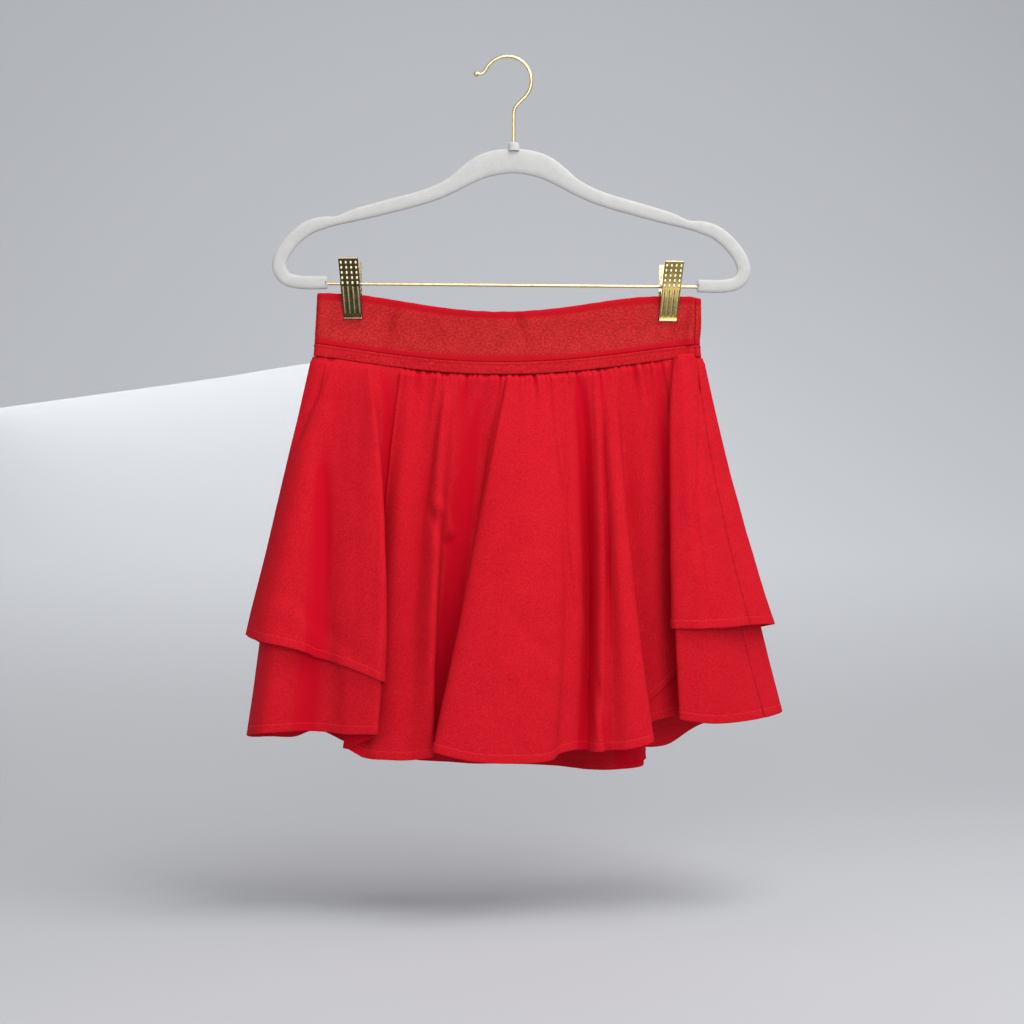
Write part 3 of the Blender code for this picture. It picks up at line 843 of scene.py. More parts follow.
FRONT_FOLDS = (
    Fold("left_seam", -164, -200, -221, 22, 30, -632, 0.77, 9),
    Fold("left_turn", -175, -210, -235, 13, 20, -631, 0.74, 12),
    Fold("left_edge", -178, -213, -240, 2, 6, -628, 0.73, 13),
    Fold("a_crest", -166, -200, -222, -22, -33, -621, 0.76, 10),
    Fold("a_trough", -154, -168, -180, -20, -28, -620, 0.80, 6),
    Fold("a_lap", -140, -139, -149, -33, -46, -621, 0.82, 3),
    Fold("a_edge", -128, -116, -122, -40, -51, -621, 0.86, 1),
    Fold("a_under", -121, -124, -138, -26, -36, -631, 0.93, 0),
    Fold("ab_root", -110, -129, -152, -13, -22, -640, 0.98, 0),
    Fold("b_rise", -99, -117, -134, -10, -18, -645, 1.00, 0),
    Fold("b_crest", -89, -103, -110, -24, -32, -646, 1.00, 0),
    Fold("b_flat", -67, -83, -90, -23, -35, -646, 1.00, 0),
    Fold("b_edge", -55, -68, -71, -36, -38, -643, 1.00, 0),
    Fold("b_under", -47, -62, -80, -17, -24, -643, 1.00, 0),
    Fold("bc_floor", -30, -49, -64, -12, -18, -645, 1.00, 0),
    Fold("bc_rise", -12, -31, -46, -19, -34, -643, 1.00, 0),
    Fold("c_edge", -1, -33, -69, -40, -62, -635, 1.00, 0),
    Fold("c_left", 12, -6, -40, -48, -71, -642, 1.00, 0),
    Fold("c_crest", 26, 23, -1, -48, -70, -645, 1.00, 0),
    Fold("c_lap", 37, 44, 33, -40, -61, -644, 1.00, 0),
    Fold("c_step", 45, 51, 41, -33, -51, -640, 1.00, 0),
    Fold("c_right", 54, 61, 55, -30, -46, -637, 1.00, 0),
    Fold("cd_valley", 66, 74, 70, -12, -36, -638, 1.00, 0),
    Fold("d_ridge", 78, 84, 79, -32, -51, -638, 1.00, 0),
    Fold("d_dip", 84, 91, 89, -30, -47, -637, 1.00, 0),
    Fold("d_crest", 90, 99, 106, -38, -57, -635, 1.00, 0),
    Fold("d_edge", 97, 108, 126, -34, -50, -629, 1.00, 0),
    Fold("d_under", 105, 108, 117, -12, -22, -622, 0.97, 0),
    Fold("e_panel", 120, 133, 139, -4, -10, -613, 0.92, 0),
    Fold("e_deep", 138, 156, 173, -3, -7, -611, 0.86, 0),
    Fold("ef_root", 147, 165, 185, -10, -14, -610, 0.82, 0),
    Fold("f_under", 150, 159, 171, -19, -25, -611, 0.78, 0),
    Fold("f_edge", 154, 151, 156, -29, -37, -611, 0.75, 2),
    Fold("f_crest", 164, 174, 186, -31, -40, -615, 0.74, 6),
)

BACK_FOLDS = (
    Fold("right_seam", 176, 199, 239, -14, -13, -613, 0.74, 10),
    Fold("right_edge", 181, 218, 260, 2, 8, -610, 0.75, 12),
    Fold("g_turn", 178, 213, 250, 20, 32, -613, 0.76, 10),
    Fold("g_crest", 167, 197, 219, 33, 50, -619, 0.79, 6),
    Fold("g_slope", 151, 174, 189, 30, 54, -628, 0.85, 3),
    Fold("h_deep", 138, 152, 158, 22, 46, -645, 0.92, 0),
    Fold("h_root", 125, 131, 129, 12, 34, -649, 0.97, 0),
    Fold("h_lip", 115, 121, 132, 8, 17, -660, 1.00, 0),
    Fold("h_floor", 99, 104, 105, 9, 13, -664, 1.00, 0),
    Fold("i_rise", 80, 81, 78, 22, 28, -666, 1.00, 0),
    Fold("i_crest", 59, 55, 50, 40, 54, -666, 1.00, 0),
    Fold("i_fall", 38, 32, 26, 38, 58, -665, 1.00, 0),
    Fold("ij_valley", 16, 6, -5, 20, 38, -661, 1.00, 0),
    Fold("j_rise", -4, -15, -29, 30, 46, -662, 1.00, 0),
    Fold("j_crest", -23, -39, -55, 42, 60, -662, 1.00, 0),
    Fold("j_edge", -42, -60, -80, 36, 52, -659, 1.00, 0),
    Fold("jk_root", -57, -68, -76, 14, 28, -654, 1.00, 0),
    Fold("k_floor", -74, -87, -98, 9, 15, -650, 1.00, 0),
    Fold("k_rise", -92, -109, -124, 24, 34, -648, 0.98, 0),
    Fold("k_crest", -113, -132, -151, 38, 54, -641, 0.93, 0),
    Fold("l_fall", -131, -156, -177, 34, 50, -629, 0.87, 3),
    Fold("l_valley", -147, -178, -199, 21, 34, -633, 0.82, 6),
)


@dataclass(frozen=True)
class FoldRing:
    """The closed ring of fold lines that both skirts follow."""

    waist: Waist
    folds: tuple[Fold, ...] = FRONT_FOLDS + BACK_FOLDS
    seam_gap: float = 0.3
    cloth_wall: float = 1.0
    layer_gap: float = 0.35
    layer_gap_at_hem: float = 0.9
    flare_level: float = 0.75
    flare_power: float = 1.8
    base_shorter: float = 0.014
    covered_from: float = 0.94

    def fold_at(self, fold: Fold, level: float) -> Vector:
        """Follow a fold line.

        Args:
            fold: the fold line.
            level: share of the way from the waist seam to the base hem.

        Returns:
            Its point there.
        """
        side = 1.0 if fold.y_mid > 0 else -1.0
        y_waist = side * self.waist.half_depth(fold.x_waist, 1.0)
        z_waist = self.waist.seam(fold.x_waist) - self.seam_gap
        return Vector((
            through(fold.x_waist, fold.x_mid, fold.x_hem, level),
            through(y_waist, fold.y_mid, fold.y_hem, level),
            lerp(z_waist, fold.hem_z, level),
        ))

    def point(self, place: float, level: float) -> Vector:
        """Find a point of the ring.

        Args:
            place: place along the ring; whole places are the fold lines.
            level: share of the way from the waist seam to the base hem.

        Returns:
            The point.
        """
        count = len(self.folds)
        index = math.floor(place)
        around = [self.fold_at(self.folds[(index + step) % count], level) for step in (-1, 0, 1, 2)]
        return spline_point(around, place - index)

    def value(self, place: float, column: str) -> float:
        """Blend a column of the fold table between the two nearest fold lines.

        Args:
            place: place along the ring.
            column: the column's name.

        Returns:
            The value.
        """
        index = math.floor(place)
        low = getattr(self.folds[index % len(self.folds)], column)
        high = getattr(self.folds[(index + 1) % len(self.folds)], column)
        return lerp(low, high, place - index)

    def end_share(self, skirt: Skirt, place: float) -> float:
        """Find where a skirt ends: the base is a little short where it is covered.

        Args:
            skirt: the skirt.
            place: place along the ring.

        Returns:
            The share of the way down.
        """
        cover = self.value(place, "cover")
        if skirt is Skirt.OVERLAY:
            return cover
        return 1.0 - self.base_shorter * ramp(cover, self.covered_from, 1.0)

    def inner_face(self, skirt: Skirt, place: float, level: float) -> float:
        """Measure from the ring to a skirt's inner face: the overskirt flares to its hem.

        Args:
            skirt: the skirt.
            place: place along the ring.
            level: share of the way down.

        Returns:
            The distance outwards.
        """
        if skirt is Skirt.BASE:
            return -self.cloth_wall / 2
        gap = lerp(self.layer_gap, self.layer_gap_at_hem, level)
        flare = self.value(place, "flare") * (level / self.flare_level) ** self.flare_power
        return self.cloth_wall / 2 + gap + flare


# ---------------------------------------------------------------- creases and gathers
class Crease(NamedTuple):
    """A soft crease seen from outside: its two ends, its depth (a ridge if above 0) and width."""

    name: str
    x_from: float
    z_from: float
    x_to: float
    z_to: float
    depth: float
    width: float

    def at(self, x: float, z: float) -> float:
        """Find the crease's height, which fades past its ends over a quarter of its length.

        Args:
            x: place across.
            z: height on the skirt.

        Returns:
            The height.
        """
        span_x = self.x_to - self.x_from
        span_z = self.z_to - self.z_from
        length = math.hypot(span_x, span_z)
        along = ((x - self.x_from) * span_x + (z - self.z_from) * span_z) / length
        away = ((x - self.x_from) * span_z - (z - self.z_from) * span_x) / length
        over = max(-along, along - length, 0.0)
        return self.depth * bell(away, self.width) * bell(over, length / 4 + self.width)


FRONT_CREASES = (
    Crease("a_waist_trough", -164, -284, -188, -343, -3.0, 3.8),
    Crease("a_middle_trough", -171, -400, -159, -590, -3.0, 8.0),
    Crease("a_middle_crest", -128, -420, -131, -600, 1.2, 8.0),
    Crease("base_trough", -166, -600, -166, -640, -2.0, 6.0),
    Crease("b_left_fill", -111, -440, -121, -640, 3.0, 7.0),
    Crease("b_ridge_trough", -60, -300, -75, -401, -2.2, 3.6),
    Crease("c_right_line", 40, -300, 47, -388, 2.0, 2.3),
    Crease("c_right_line_low", 47, -388, 62, -505, 2.2, 2.4),
    Crease("d_pinch", 88, -370, 90, -470, -1.5, 2.4),
    Crease("d_pinch_low", 90, -470, 86, -600, -1.8, 2.4),
    Crease("f_long_crease", 177, -318, 171, -430, -1.5, 1.8),
    Crease("f_long_crease_low", 171, -430, 180, -525, -1.6, 1.8),
    Crease("f_roll", 162, -290, 164, -400, 2.6, 6.0),
    Crease("b_hook", -63, -419, -52, -441, 3.2, 3.6),
    Crease("b_hook_shadow", -68, -428, -60, -450, -2.6, 3.2),
    Crease("b_hook_foot", -58, -449, -50, -446, -2.0, 2.8),
    Crease("c_left_wrinkle_one", -45, -585, -62, -612, -0.8, 2.4),
    Crease("c_left_wrinkle_two", -40, -600, -55, -628, 0.7, 2.6),
    Crease("c_left_wrinkle_three", -36, -618, -46, -640, -0.6, 2.2),
    Crease("c_soft_dent", 5, -520, 30, -548, -0.7, 6.0),
    Crease("c_soft_swell", -5, -560, 22, -590, 0.7, 7.0),
    Crease("a_sweep", -196, -500, -150, -540, -0.8, 8.0),
    Crease("a_sweep_ridge", -190, -520, -140, -562, 0.7, 7.0),
    Crease("a_drag", -170, -330, -188, -430, 0.9, 6.0),
    Crease("d_fan_ridge", 76.5, -578, 81.5, -632, 1.1, 1.7),
    Crease("d_fan_trough", 80.5, -578, 85.0, -632, -1.7, 1.5),
    Crease("d_fan_swell", 90, -560, 92, -628, 0.9, 3.4),
    Crease("d_hem_ripple", 84, -628, 92, -631, 0.6, 2.0),
    Crease("e_fill", 131, -410, 140, -620, 7.5, 15.0),
    Crease("e_sweep", 122, -520, 150, -560, -0.6, 5.0),
)

BACK_CREASES = (
    Crease("g_drag", 172, -300, 190, -400, 0.9, 6.0),
    Crease("g_sweep", 200, -520, 170, -560, -0.8, 7.0),
    Crease("i_dent", 40, -480, 55, -520, -0.8, 6.0),
    Crease("i_swell", 58, -560, 40, -600, 0.8, 7.0),
    Crease("j_sweep", -30, -420, -45, -470, -0.7, 6.0),
    Crease("j_dent", -40, -590, -60, -620, -0.8, 4.0),
    Crease("k_dent", -128, -470, -140, -520, -0.8, 6.0),
    Crease("l_drag", -150, -320, -176, -430, 0.9, 6.0),
)


# a lap starts over so far below the seam, fades over this share of its drop, has an edge this soft
# to each side, and is cut off at so many times its reach
LAP_START = 6.0
LAP_FADE = 0.6
LAP_EDGE = 0.8
LAP_CUT = 6.0


class Lap(NamedTuple):
    """A fold's edge under the waist seam: cloth raised on one side of a fold line.

    side is 1 where the raised cloth lies further along the ring of folds than the fold line.
    """

    fold: str
    side: int
    height: float
    reach: float
    drop: float

    def at(self, past: float, drop: float) -> float:
        """Find the lap's height.

        Args:
            past: distance along the ring past its fold line.
            drop: distance below the waist seam.

        Returns:
            The height of the cloth there.
        """
        over = past * self.side
        if drop >= self.drop or over < -LAP_EDGE or over > LAP_CUT * self.reach:
            return 0.0
        start = ramp(drop, 0.0, LAP_START) * ramp(drop, self.drop, (1.0 - LAP_FADE) * self.drop)
        return self.height * start * ramp(over, -LAP_EDGE, LAP_EDGE) * math.exp(-max(over, 0.0) / self.reach)


FRONT_LAPS = (
    Lap("a_crest", 1, 2.0, 6.0, 40),
    Lap("a_edge", -1, 4.2, 7.0, 130),
    Lap("b_rise", 1, 3.8, 6.0, 150),
    Lap("b_flat", 1, 1.4, 4.0, 110),
    Lap("b_edge", -1, 3.0, 5.0, 140),
    Lap("c_edge", 1, 3.2, 7.0, 150),
    Lap("c_step", -1, 1.6, 6.0, 170),
    Lap("d_ridge", 1, 1.8, 4.0, 120),
    Lap("d_edge", -1, 2.8, 5.0, 120),
    Lap("e_panel", 1, 1.0, 4.0, 70),
    Lap("f_edge", 1, 3.2, 7.0, 130),
)

BACK_LAPS = (
    Lap("g_slope", -1, 2.4, 7.0, 110),
    Lap("h_root", 1, 2.4, 6.0, 90),
    Lap("i_rise", 1, 3.0, 7.0, 140),
    Lap("i_fall", -1, 2.2, 6.0, 110),
    Lap("j_rise", 1, 2.6, 6.0, 130),
    Lap("j_edge", -1, 3.0, 6.0, 140),
    Lap("k_rise", 1, 2.4, 6.0, 110),
    Lap("l_fall", -1, 1.8, 6.0, 80),
)


class Gather(NamedTuple):
    """A pinch under the waist seam: its place along the seam, half width, length and depth."""

    along: float
    width: float
    length: float
    depth: float


Limits = tuple[float, float]


@dataclass(frozen=True)
class Gathers:
    """Uneven pinches of the cloth under the waist seam, between two places across.

    Each size is drawn between two limits.  The cloth puffs out under the seam, and a pinch widens
    and fades on its way down.
    """

    x_from: float
    x_to: float
    seed: int
    pitch: Limits = (3.2, 7.6)
    width: Limits = (0.9, 1.7)
    length: Limits = (9.0, 34.0)
    depth: Limits = (1.5, 3.6)
    long_pitch: Limits = (9.0, 19.0)
    long_width: Limits = (2.4, 4.6)
    long_length: Limits = (40.0, 120.0)
    long_depth: Limits = (1.0, 2.8)
    edge: float = 8.0
    end: float = 200.0
    puff: float = 2.2
    puff_start: float = 4.0
    puff_fade: float = 14.0
    widening: float = 60.0
    fade: float = 1.6

    def pinches(self) -> list[Gather]:
        """Draw the pinches.

        Returns:
            The short pinches from left to right, then the long ones.
        """
        dice = random.Random(self.seed)
        short = self.run(dice, self.pitch, self.width, self.length, self.depth)
        return short + self.run(dice, self.long_pitch, self.long_width, self.long_length, self.long_depth)

    def run(self, dice: random.Random, pitch: Limits, width: Limits, length: Limits,
            depth: Limits) -> list[Gather]:
        """Draw one run of pinches.

        Args:
            dice: what the sizes are drawn with.
            pitch: limits of the distance to the next pinch.
            width: limits of the half width.
            length: limits of the length.
            depth: limits of the depth.

        Returns:
            The pinches from left to right.
        """
        made = []
        along = self.x_from
        while along < self.x_to:
            made.append(Gather(along, dice.uniform(*width), dice.uniform(*length), dice.uniform(*depth)))
            along += dice.uniform(*pitch)
        return made

    def relief(self, x: float, drop: float, pinches: list[Gather]) -> float:
        """Find the height of the gathers.

        Args:
            x: place across where the column starts at the seam.
            drop: distance below the seam.
            pinches: the pinches.

        Returns:
            The height of the cloth there.
        """
        zone = ease(min(x - self.x_from, self.x_to - x) / self.edge)
        if zone == 0.0 or drop > self.end:
            return 0.0
        total = self.puff * math.exp(-drop / self.puff_fade) * ramp(drop, 0.0, self.puff_start)
        for pinch in pinches:
            width = pinch.width * (1.0 + drop / self.widening)
            fade = max(1.0 - drop / (pinch.length * self.fade), 0.0)
            if fade > 0.0 and abs(x - pinch.along) < BELL_REACH * width:
                total -= pinch.depth * bell(x - pinch.along, width) * fade * fade
        return total * zone


# ---------------------------------------------------------------- cloth panels
@dataclass(frozen=True)
class Hem:
    """A turned hem: doubled cloth, a row of stitches in a groove, and an edge that waves a little."""

    height: float = 7.5
    doubled: float = 0.28
    doubled_to: Limits = (8.7, 7.1)
    groove: PressedLine = PressedLine(-0.22, 7.5, 0.7)
    rolled: float = 0.35
    rolled_from: float = 0.9
    wave_from: float = 26.0
    wave: Ripple = Ripple(0.75, 17.0, 3.1)
    flutter: Ripple = Ripple(0.3, 6.0, 8.7)

    def relief(self, rise: float, along: float) -> float:
        """Find the height of the hem.

        Args:
            rise: height above the edge.
            along: distance along the hem.

        Returns:
            The height of the cloth there.
        """
        folded = self.doubled * ramp(rise, *self.doubled_to) + self.groove.at(rise)
        rolled = self.rolled * ramp(rise, self.rolled_from, 0.0)
        wave = ramp(rise, self.wave_from, 0.0) * (self.wave.at(along) + self.flutter.at(along))
        return folded - rolled + wave


@dataclass(frozen=True)
class SideSeam:
    """A side seam: the cloth dips into it and puckers beside it."""

    reach: float = 6.0
    dip: float = 0.5
    dip_reach: float = 1.4
    pucker: float = 0.3
    pucker_pitch: float = 3.4
    pucker_drift: Ripple = Ripple(1.8, 9.0, 5.0)

    def relief(self, away: float, drop: float) -> float:
        """Find the height beside the seam.

        Args:
            away: distance from the seam.
            drop: distance below the waist seam.

        Returns:
            The height of the cloth there.
        """
        if away > self.reach:
            return 0.0
        wobble = math.sin(2 * math.pi * drop / self.pucker_pitch + self.pucker_drift.at(drop))
        dip = self.dip * ramp(away, self.dip_reach, 0.0)
        return self.pucker * wobble * ramp(away, self.reach, 0.0) - dip


@dataclass(frozen=True)
class WaistRoll:
    """Where the overskirt rolls out and up over the strip, near its right front fold."""

    x_rise: Limits = (151.0, 159.0)
    x_fall: Limits = (177.0, 172.0)
    out: float = 3.2
    out_start: float = 2.0
    out_fade: float = 50.0
    up: float = 6.2
    up_rise: Limits = (1.0, 2.2)
    up_fall: Limits = (3.2, 8.2)

    def move(self, x: float, drop: float) -> tuple[float, float]:
        """Find how far the cloth rolls.

        Args:
            x: place across where the column starts at the seam.
            drop: distance below the seam.

        Returns:
            How far out and how far up it goes there.
        """
        zone = ramp(x, *self.x_rise) * ramp(x, *self.x_fall)
        out = self.out * ramp(drop, 0.0, self.out_start) * math.exp(-drop / self.out_fade)
        up = self.up * ramp(drop, *self.up_rise) * (1.0 - ramp(drop, *self.up_fall))
        return zone * out, zone * up


@dataclass(frozen=True)
class PaintedLightMask:
    """How openly a point of a panel lies, judged by the cloth near it in its row; its mark picks the knit's
    painted light and shade.
    """

    columns: int = 14
    at_waist: float = 4.0
    at_hem: float = 9.0
    fold_depths: Limits = (14.0, 26.0)
    turned_from: float = 0.6

    def mark(self, out: list[float], column: int, share: float, facing: float) -> float:
        """Mark a point.

        Args:
            out: how far out each point of the row lies.
            column: the point's column.
            share: its share of the way down.
            facing: how far it faces outwards, up to 1.

        Returns:
            1 on a crest, which takes the painted sheen; 0.5 in a hollow or on a fold's side, which takes
            painted shade; and 0 deep between two large folds, which takes a brighter painted red.
        """
        left = max(out[max(column - self.columns, 0):column + 1])
        right = max(out[column:column + self.columns + 1])
        depth = min(left, right) - out[column]
        hollow = ramp(depth, 0.0, lerp(self.at_waist, self.at_hem, share))
        to_side = min(column, len(out) - 1 - column) / self.columns
        turned = ramp(facing, self.turned_from, 0.0) * ease(to_side - 0.5)
        return 1.0 - 0.5 * max(hollow, turned) - 0.5 * ramp(depth, *self.fold_depths)


@dataclass
class Panel:
    """One panel of a skirt: a fine sheet on the ring of folds, with its creases and hem."""

    ring: FoldRing
    skirt: Skirt
    side: Side
    first: int
    last: int
    creases: tuple[Crease, ...]
    laps: tuple[Lap, ...]
    gathers: Gathers
    hem: Hem = Hem()
    side_seam: SideSeam = SideSeam()
    roll: WaistRoll = WaistRoll()
    painted_light_mask: PaintedLightMask = PaintedLightMask()
    swell: Ripple = Ripple(0.45, 34.0, 1.7)
    unevenness: Ripple = Ripple(0.16, 11.0, 6.3)
    wall: float = 0.8
    column_pitch: float = 2.6
    row_pitch: float = 4.0
    base_length: float = 390.0
    overlay_length: float = 370.0
    tuck: float = 1.15
    tuck_drop: float = 7.0
    base_tuck: float = 0.6
    room: float = 1.2
    top_drops: tuple[float, ...] = (0, 1, 2, 3.2, 4.6, 6.2, 8, 10, 12.4, 15, 18, 21.5, 25)
    foot_rises: tuple[float, ...] = (12, 10, 8.6, 7.9, 7.5, 7.1, 6, 4.6, 3, 1.6, 0.5, 0)
    least_facing: float = 0.05
    facing_gain: float = 1.6
    sewn_gap: float = 0.03
    past_end: float = 0.1
    grid: list[list[Vector]] = field(default_factory=list)
    facings: list[list[float]] = field(default_factory=list)

    @property
    def name(self) -> str:
        """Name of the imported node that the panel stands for."""
        return "{}_{}".format(self.skirt.value, self.side.name.lower())

    def places(self) -> list[float]:
        """Set out the columns along the ring, closer where the hem is longer.

        Returns:
            Their places.
        """
        made = []
        for index in range(self.first, self.last):
            chords = []
            for level in (0.5, 1.0):
                chords.append((self.ring.point(index + 1, level) - self.ring.point(index, level)).length)
            steps = max(4, math.ceil(max(chords) / self.column_pitch))
            made += [index + step / steps for step in range(steps)]
        return made + [float(self.last)]

    def shares(self, length: float) -> list[float]:
        """Set out the rows down a column, closer near the waist and the hem.

        Args:
            length: the column's length.

        Returns:
            Their shares of the way down.
        """
        top = [drop / length for drop in self.top_drops]
        foot = [1.0 - rise / length for rise in self.foot_rises]
        steps = self.middle_rows()
        middle = [lerp(top[-1], foot[0], step / steps) for step in range(1, steps)]
        return top + middle + foot

    def middle_rows(self) -> int:
        """Number of steps between the rows near the waist and the rows near the hem."""
        longest = self.base_length if self.skirt is Skirt.BASE else self.overlay_length
        return round((longest - self.top_drops[-1] - self.foot_rises[0]) / self.row_pitch)

    def crease_relief(self, point: Vector, facing: float) -> float:
        """Add up the creases.

        Args:
            point: the place.
            facing: how far it faces outwards, up to 1.

        Returns:
            The height of the cloth there.
        """
        if facing <= self.least_facing:
            return 0.0
        total = sum(crease.at(point.x, point.z) for crease in self.creases)
        return total * min(facing * self.facing_gain, 1.0)

    def lap_columns(self, places: list[float]) -> list[int]:
        """Column of each lap's fold line."""
        names = [fold.name for fold in self.ring.folds]
        return [places.index(float(names.index(lap.fold))) for lap in self.laps]

    def build_grid(self) -> list[list[tuple[float, float]]]:
        """Work out every point of the outer face.

        Returns:
            The flat place of each point, by row.
        """
        places = self.places()
        pinches = self.gathers.pinches()
        lap_columns = self.lap_columns(places)
        rolls = self.skirt is Skirt.OVERLAY and self.side is Side.FRONT
        tuck_depth = self.tuck * (self.base_tuck if self.skirt is Skirt.BASE else 1.0)
        ring = self.ring
        ends = [ring.end_share(self.skirt, place) for place in places]
        tops = [ring.point(place, 0.0) for place in places]
        feet = [ring.point(place, end) for place, end in zip(places, ends)]
        lengths = [(top - foot).length for top, foot in zip(tops, feet)]
        shares = [self.shares(length) for length in lengths]
        along_mid = running_lengths([ring.point(place, 0.5) for place in places])
        along_hem = running_lengths(feet)
        flats = []
        for row in range(len(shares[0])):
            levels = [column[row] * end for column, end in zip(shares, ends)]
            line = [ring.point(place, level) for place, level in zip(places, levels)]
            before = ring.point(places[0] - self.past_end, levels[0])
            after = ring.point(places[-1] + self.past_end, levels[-1])
            arc = running_lengths(line)
            bordered = [before] + line + [after]
            moved = []
            flat_row = []
            facing_row = []
            for column, point in enumerate(line):
                normal = outward(bordered, column)
                drop = shares[column][row] * lengths[column]
                facing = normal.y * self.side.value
                to_side = min(arc[column], arc[-1] - arc[column])
                relief = self.crease_relief(point, facing)
                relief += self.gathers.relief(tops[column].x, drop, pinches)
                relief += sum(lap.at(arc[column] - arc[start], drop)
                              for lap, start in zip(self.laps, lap_columns))
                relief += self.swell.at(*point) + self.unevenness.at(*point)
                relief += self.hem.relief(lengths[column] - drop, along_hem[column])
                relief += self.side_seam.relief(to_side, drop)
                relief = max(relief, self.room - abs(point.y))
                relief -= tuck_depth * ramp(drop, self.tuck_drop, 0.0)
                offset = ring.inner_face(self.skirt, places[column], levels[column]) + ring.cloth_wall
                out, up = self.roll.move(tops[column].x, drop) if rolls else (0.0, 0.0)
                moved.append(point + normal * (offset + relief + out) + Vector((0.0, 0.0, up)))
                flat_row.append((along_mid[column], -drop))
                facing_row.append(facing)
            for end, inner in ((0, 1), (-1, -2)):
                moved[end] = moved[end] + (moved[inner] - moved[end]).normalized() * self.sewn_gap / 2
            self.grid.append(moved)
            self.facings.append(facing_row)
            flats.append(flat_row)
        return flats

    def build(self, material: Material) -> Object:
        """Build the panel.

        Args:
            material: its finish.

        Returns:
            The panel's object.
        """
        flats = self.build_grid()
        last_row = len(self.grid) - 1
        outs = [[point.y * self.side.value for point in line] for line in self.grid]

        def place(column: int, row: int) -> Placed:
            """The grid's point, for the mesh."""
            # the mark picks the knit's painted sheen, painted shade or brighter painted red by how openly
            # the cloth lies
            mark = self.painted_light_mask.mark(outs[row], column, row / last_row, self.facings[row][column])
            return Placed(self.grid[row][column], flats[row][column], mark)

        sheet = shaped_grid(len(self.grid[0]) - 1, last_row, place)
        piece = to_object(self.name + "_cloth", sheet, material, (self.name,))
        thicken(piece, self.wall)
        LOG.info("%s: %d columns, %d rows", piece.name, len(self.grid[0]), len(self.grid))
        return piece

    def hem_line(self) -> tuple[list[Vector], list[Vector]]:
        """Find the line of the hem's stitches.

        Returns:
            Its points, and the directions down the cloth at them.
        """
        row = len(self.grid) - len(self.foot_rises) + self.foot_rises.index(self.hem.height)
        down = [(low - high).normalized() for low, high in zip(self.grid[row + 1], self.grid[row - 1])]
        return self.grid[row], down


@dataclass
class StitchRow:
    """A row of short stitches lying along a line on the cloth."""

    name: str
    pitch: float = 2.4
    length: float = 1.6
    thickness: float = 0.42
    lift: float = 0.08
    sides: int = 6
    rings: int = 4

    def build(self, points: list[Vector], downs: list[Vector],
              material: Material) -> Object:
        """Build the stitches along a line.

        Args:
            points: the line's points.
            downs: the directions down the cloth at them.
            material: the thread's finish.

        Returns:
            The joined stitches.
        """
        thread = bmesh.new()
        size = Matrix.Diagonal((self.length / 2, self.thickness / 2, self.thickness / 2, 1.0))
        lengths = running_lengths(points)
        target = self.pitch
        for index in range(len(points) - 1):
            while lengths[index] <= target < lengths[index + 1]:
                share = (target - lengths[index]) / (lengths[index + 1] - lengths[index])
                along = (points[index + 1] - points[index]).normalized()
                out = along.cross(-downs[index]).normalized()
                centre = points[index].lerp(points[index + 1], share) + out * self.lift
                turn = Matrix((along, out.cross(along), out)).transposed().to_4x4()
                place = Matrix.Translation(centre) @ turn @ size
                bmesh.ops.create_uvsphere(thread, u_segments=self.sides, v_segments=self.rings,
                                          radius=1.0, matrix=place)
                target += self.pitch
        LOG.info("%s: %d stitches", self.name, round(target / self.pitch) - 1)
        return to_object(self.name, thread, material)


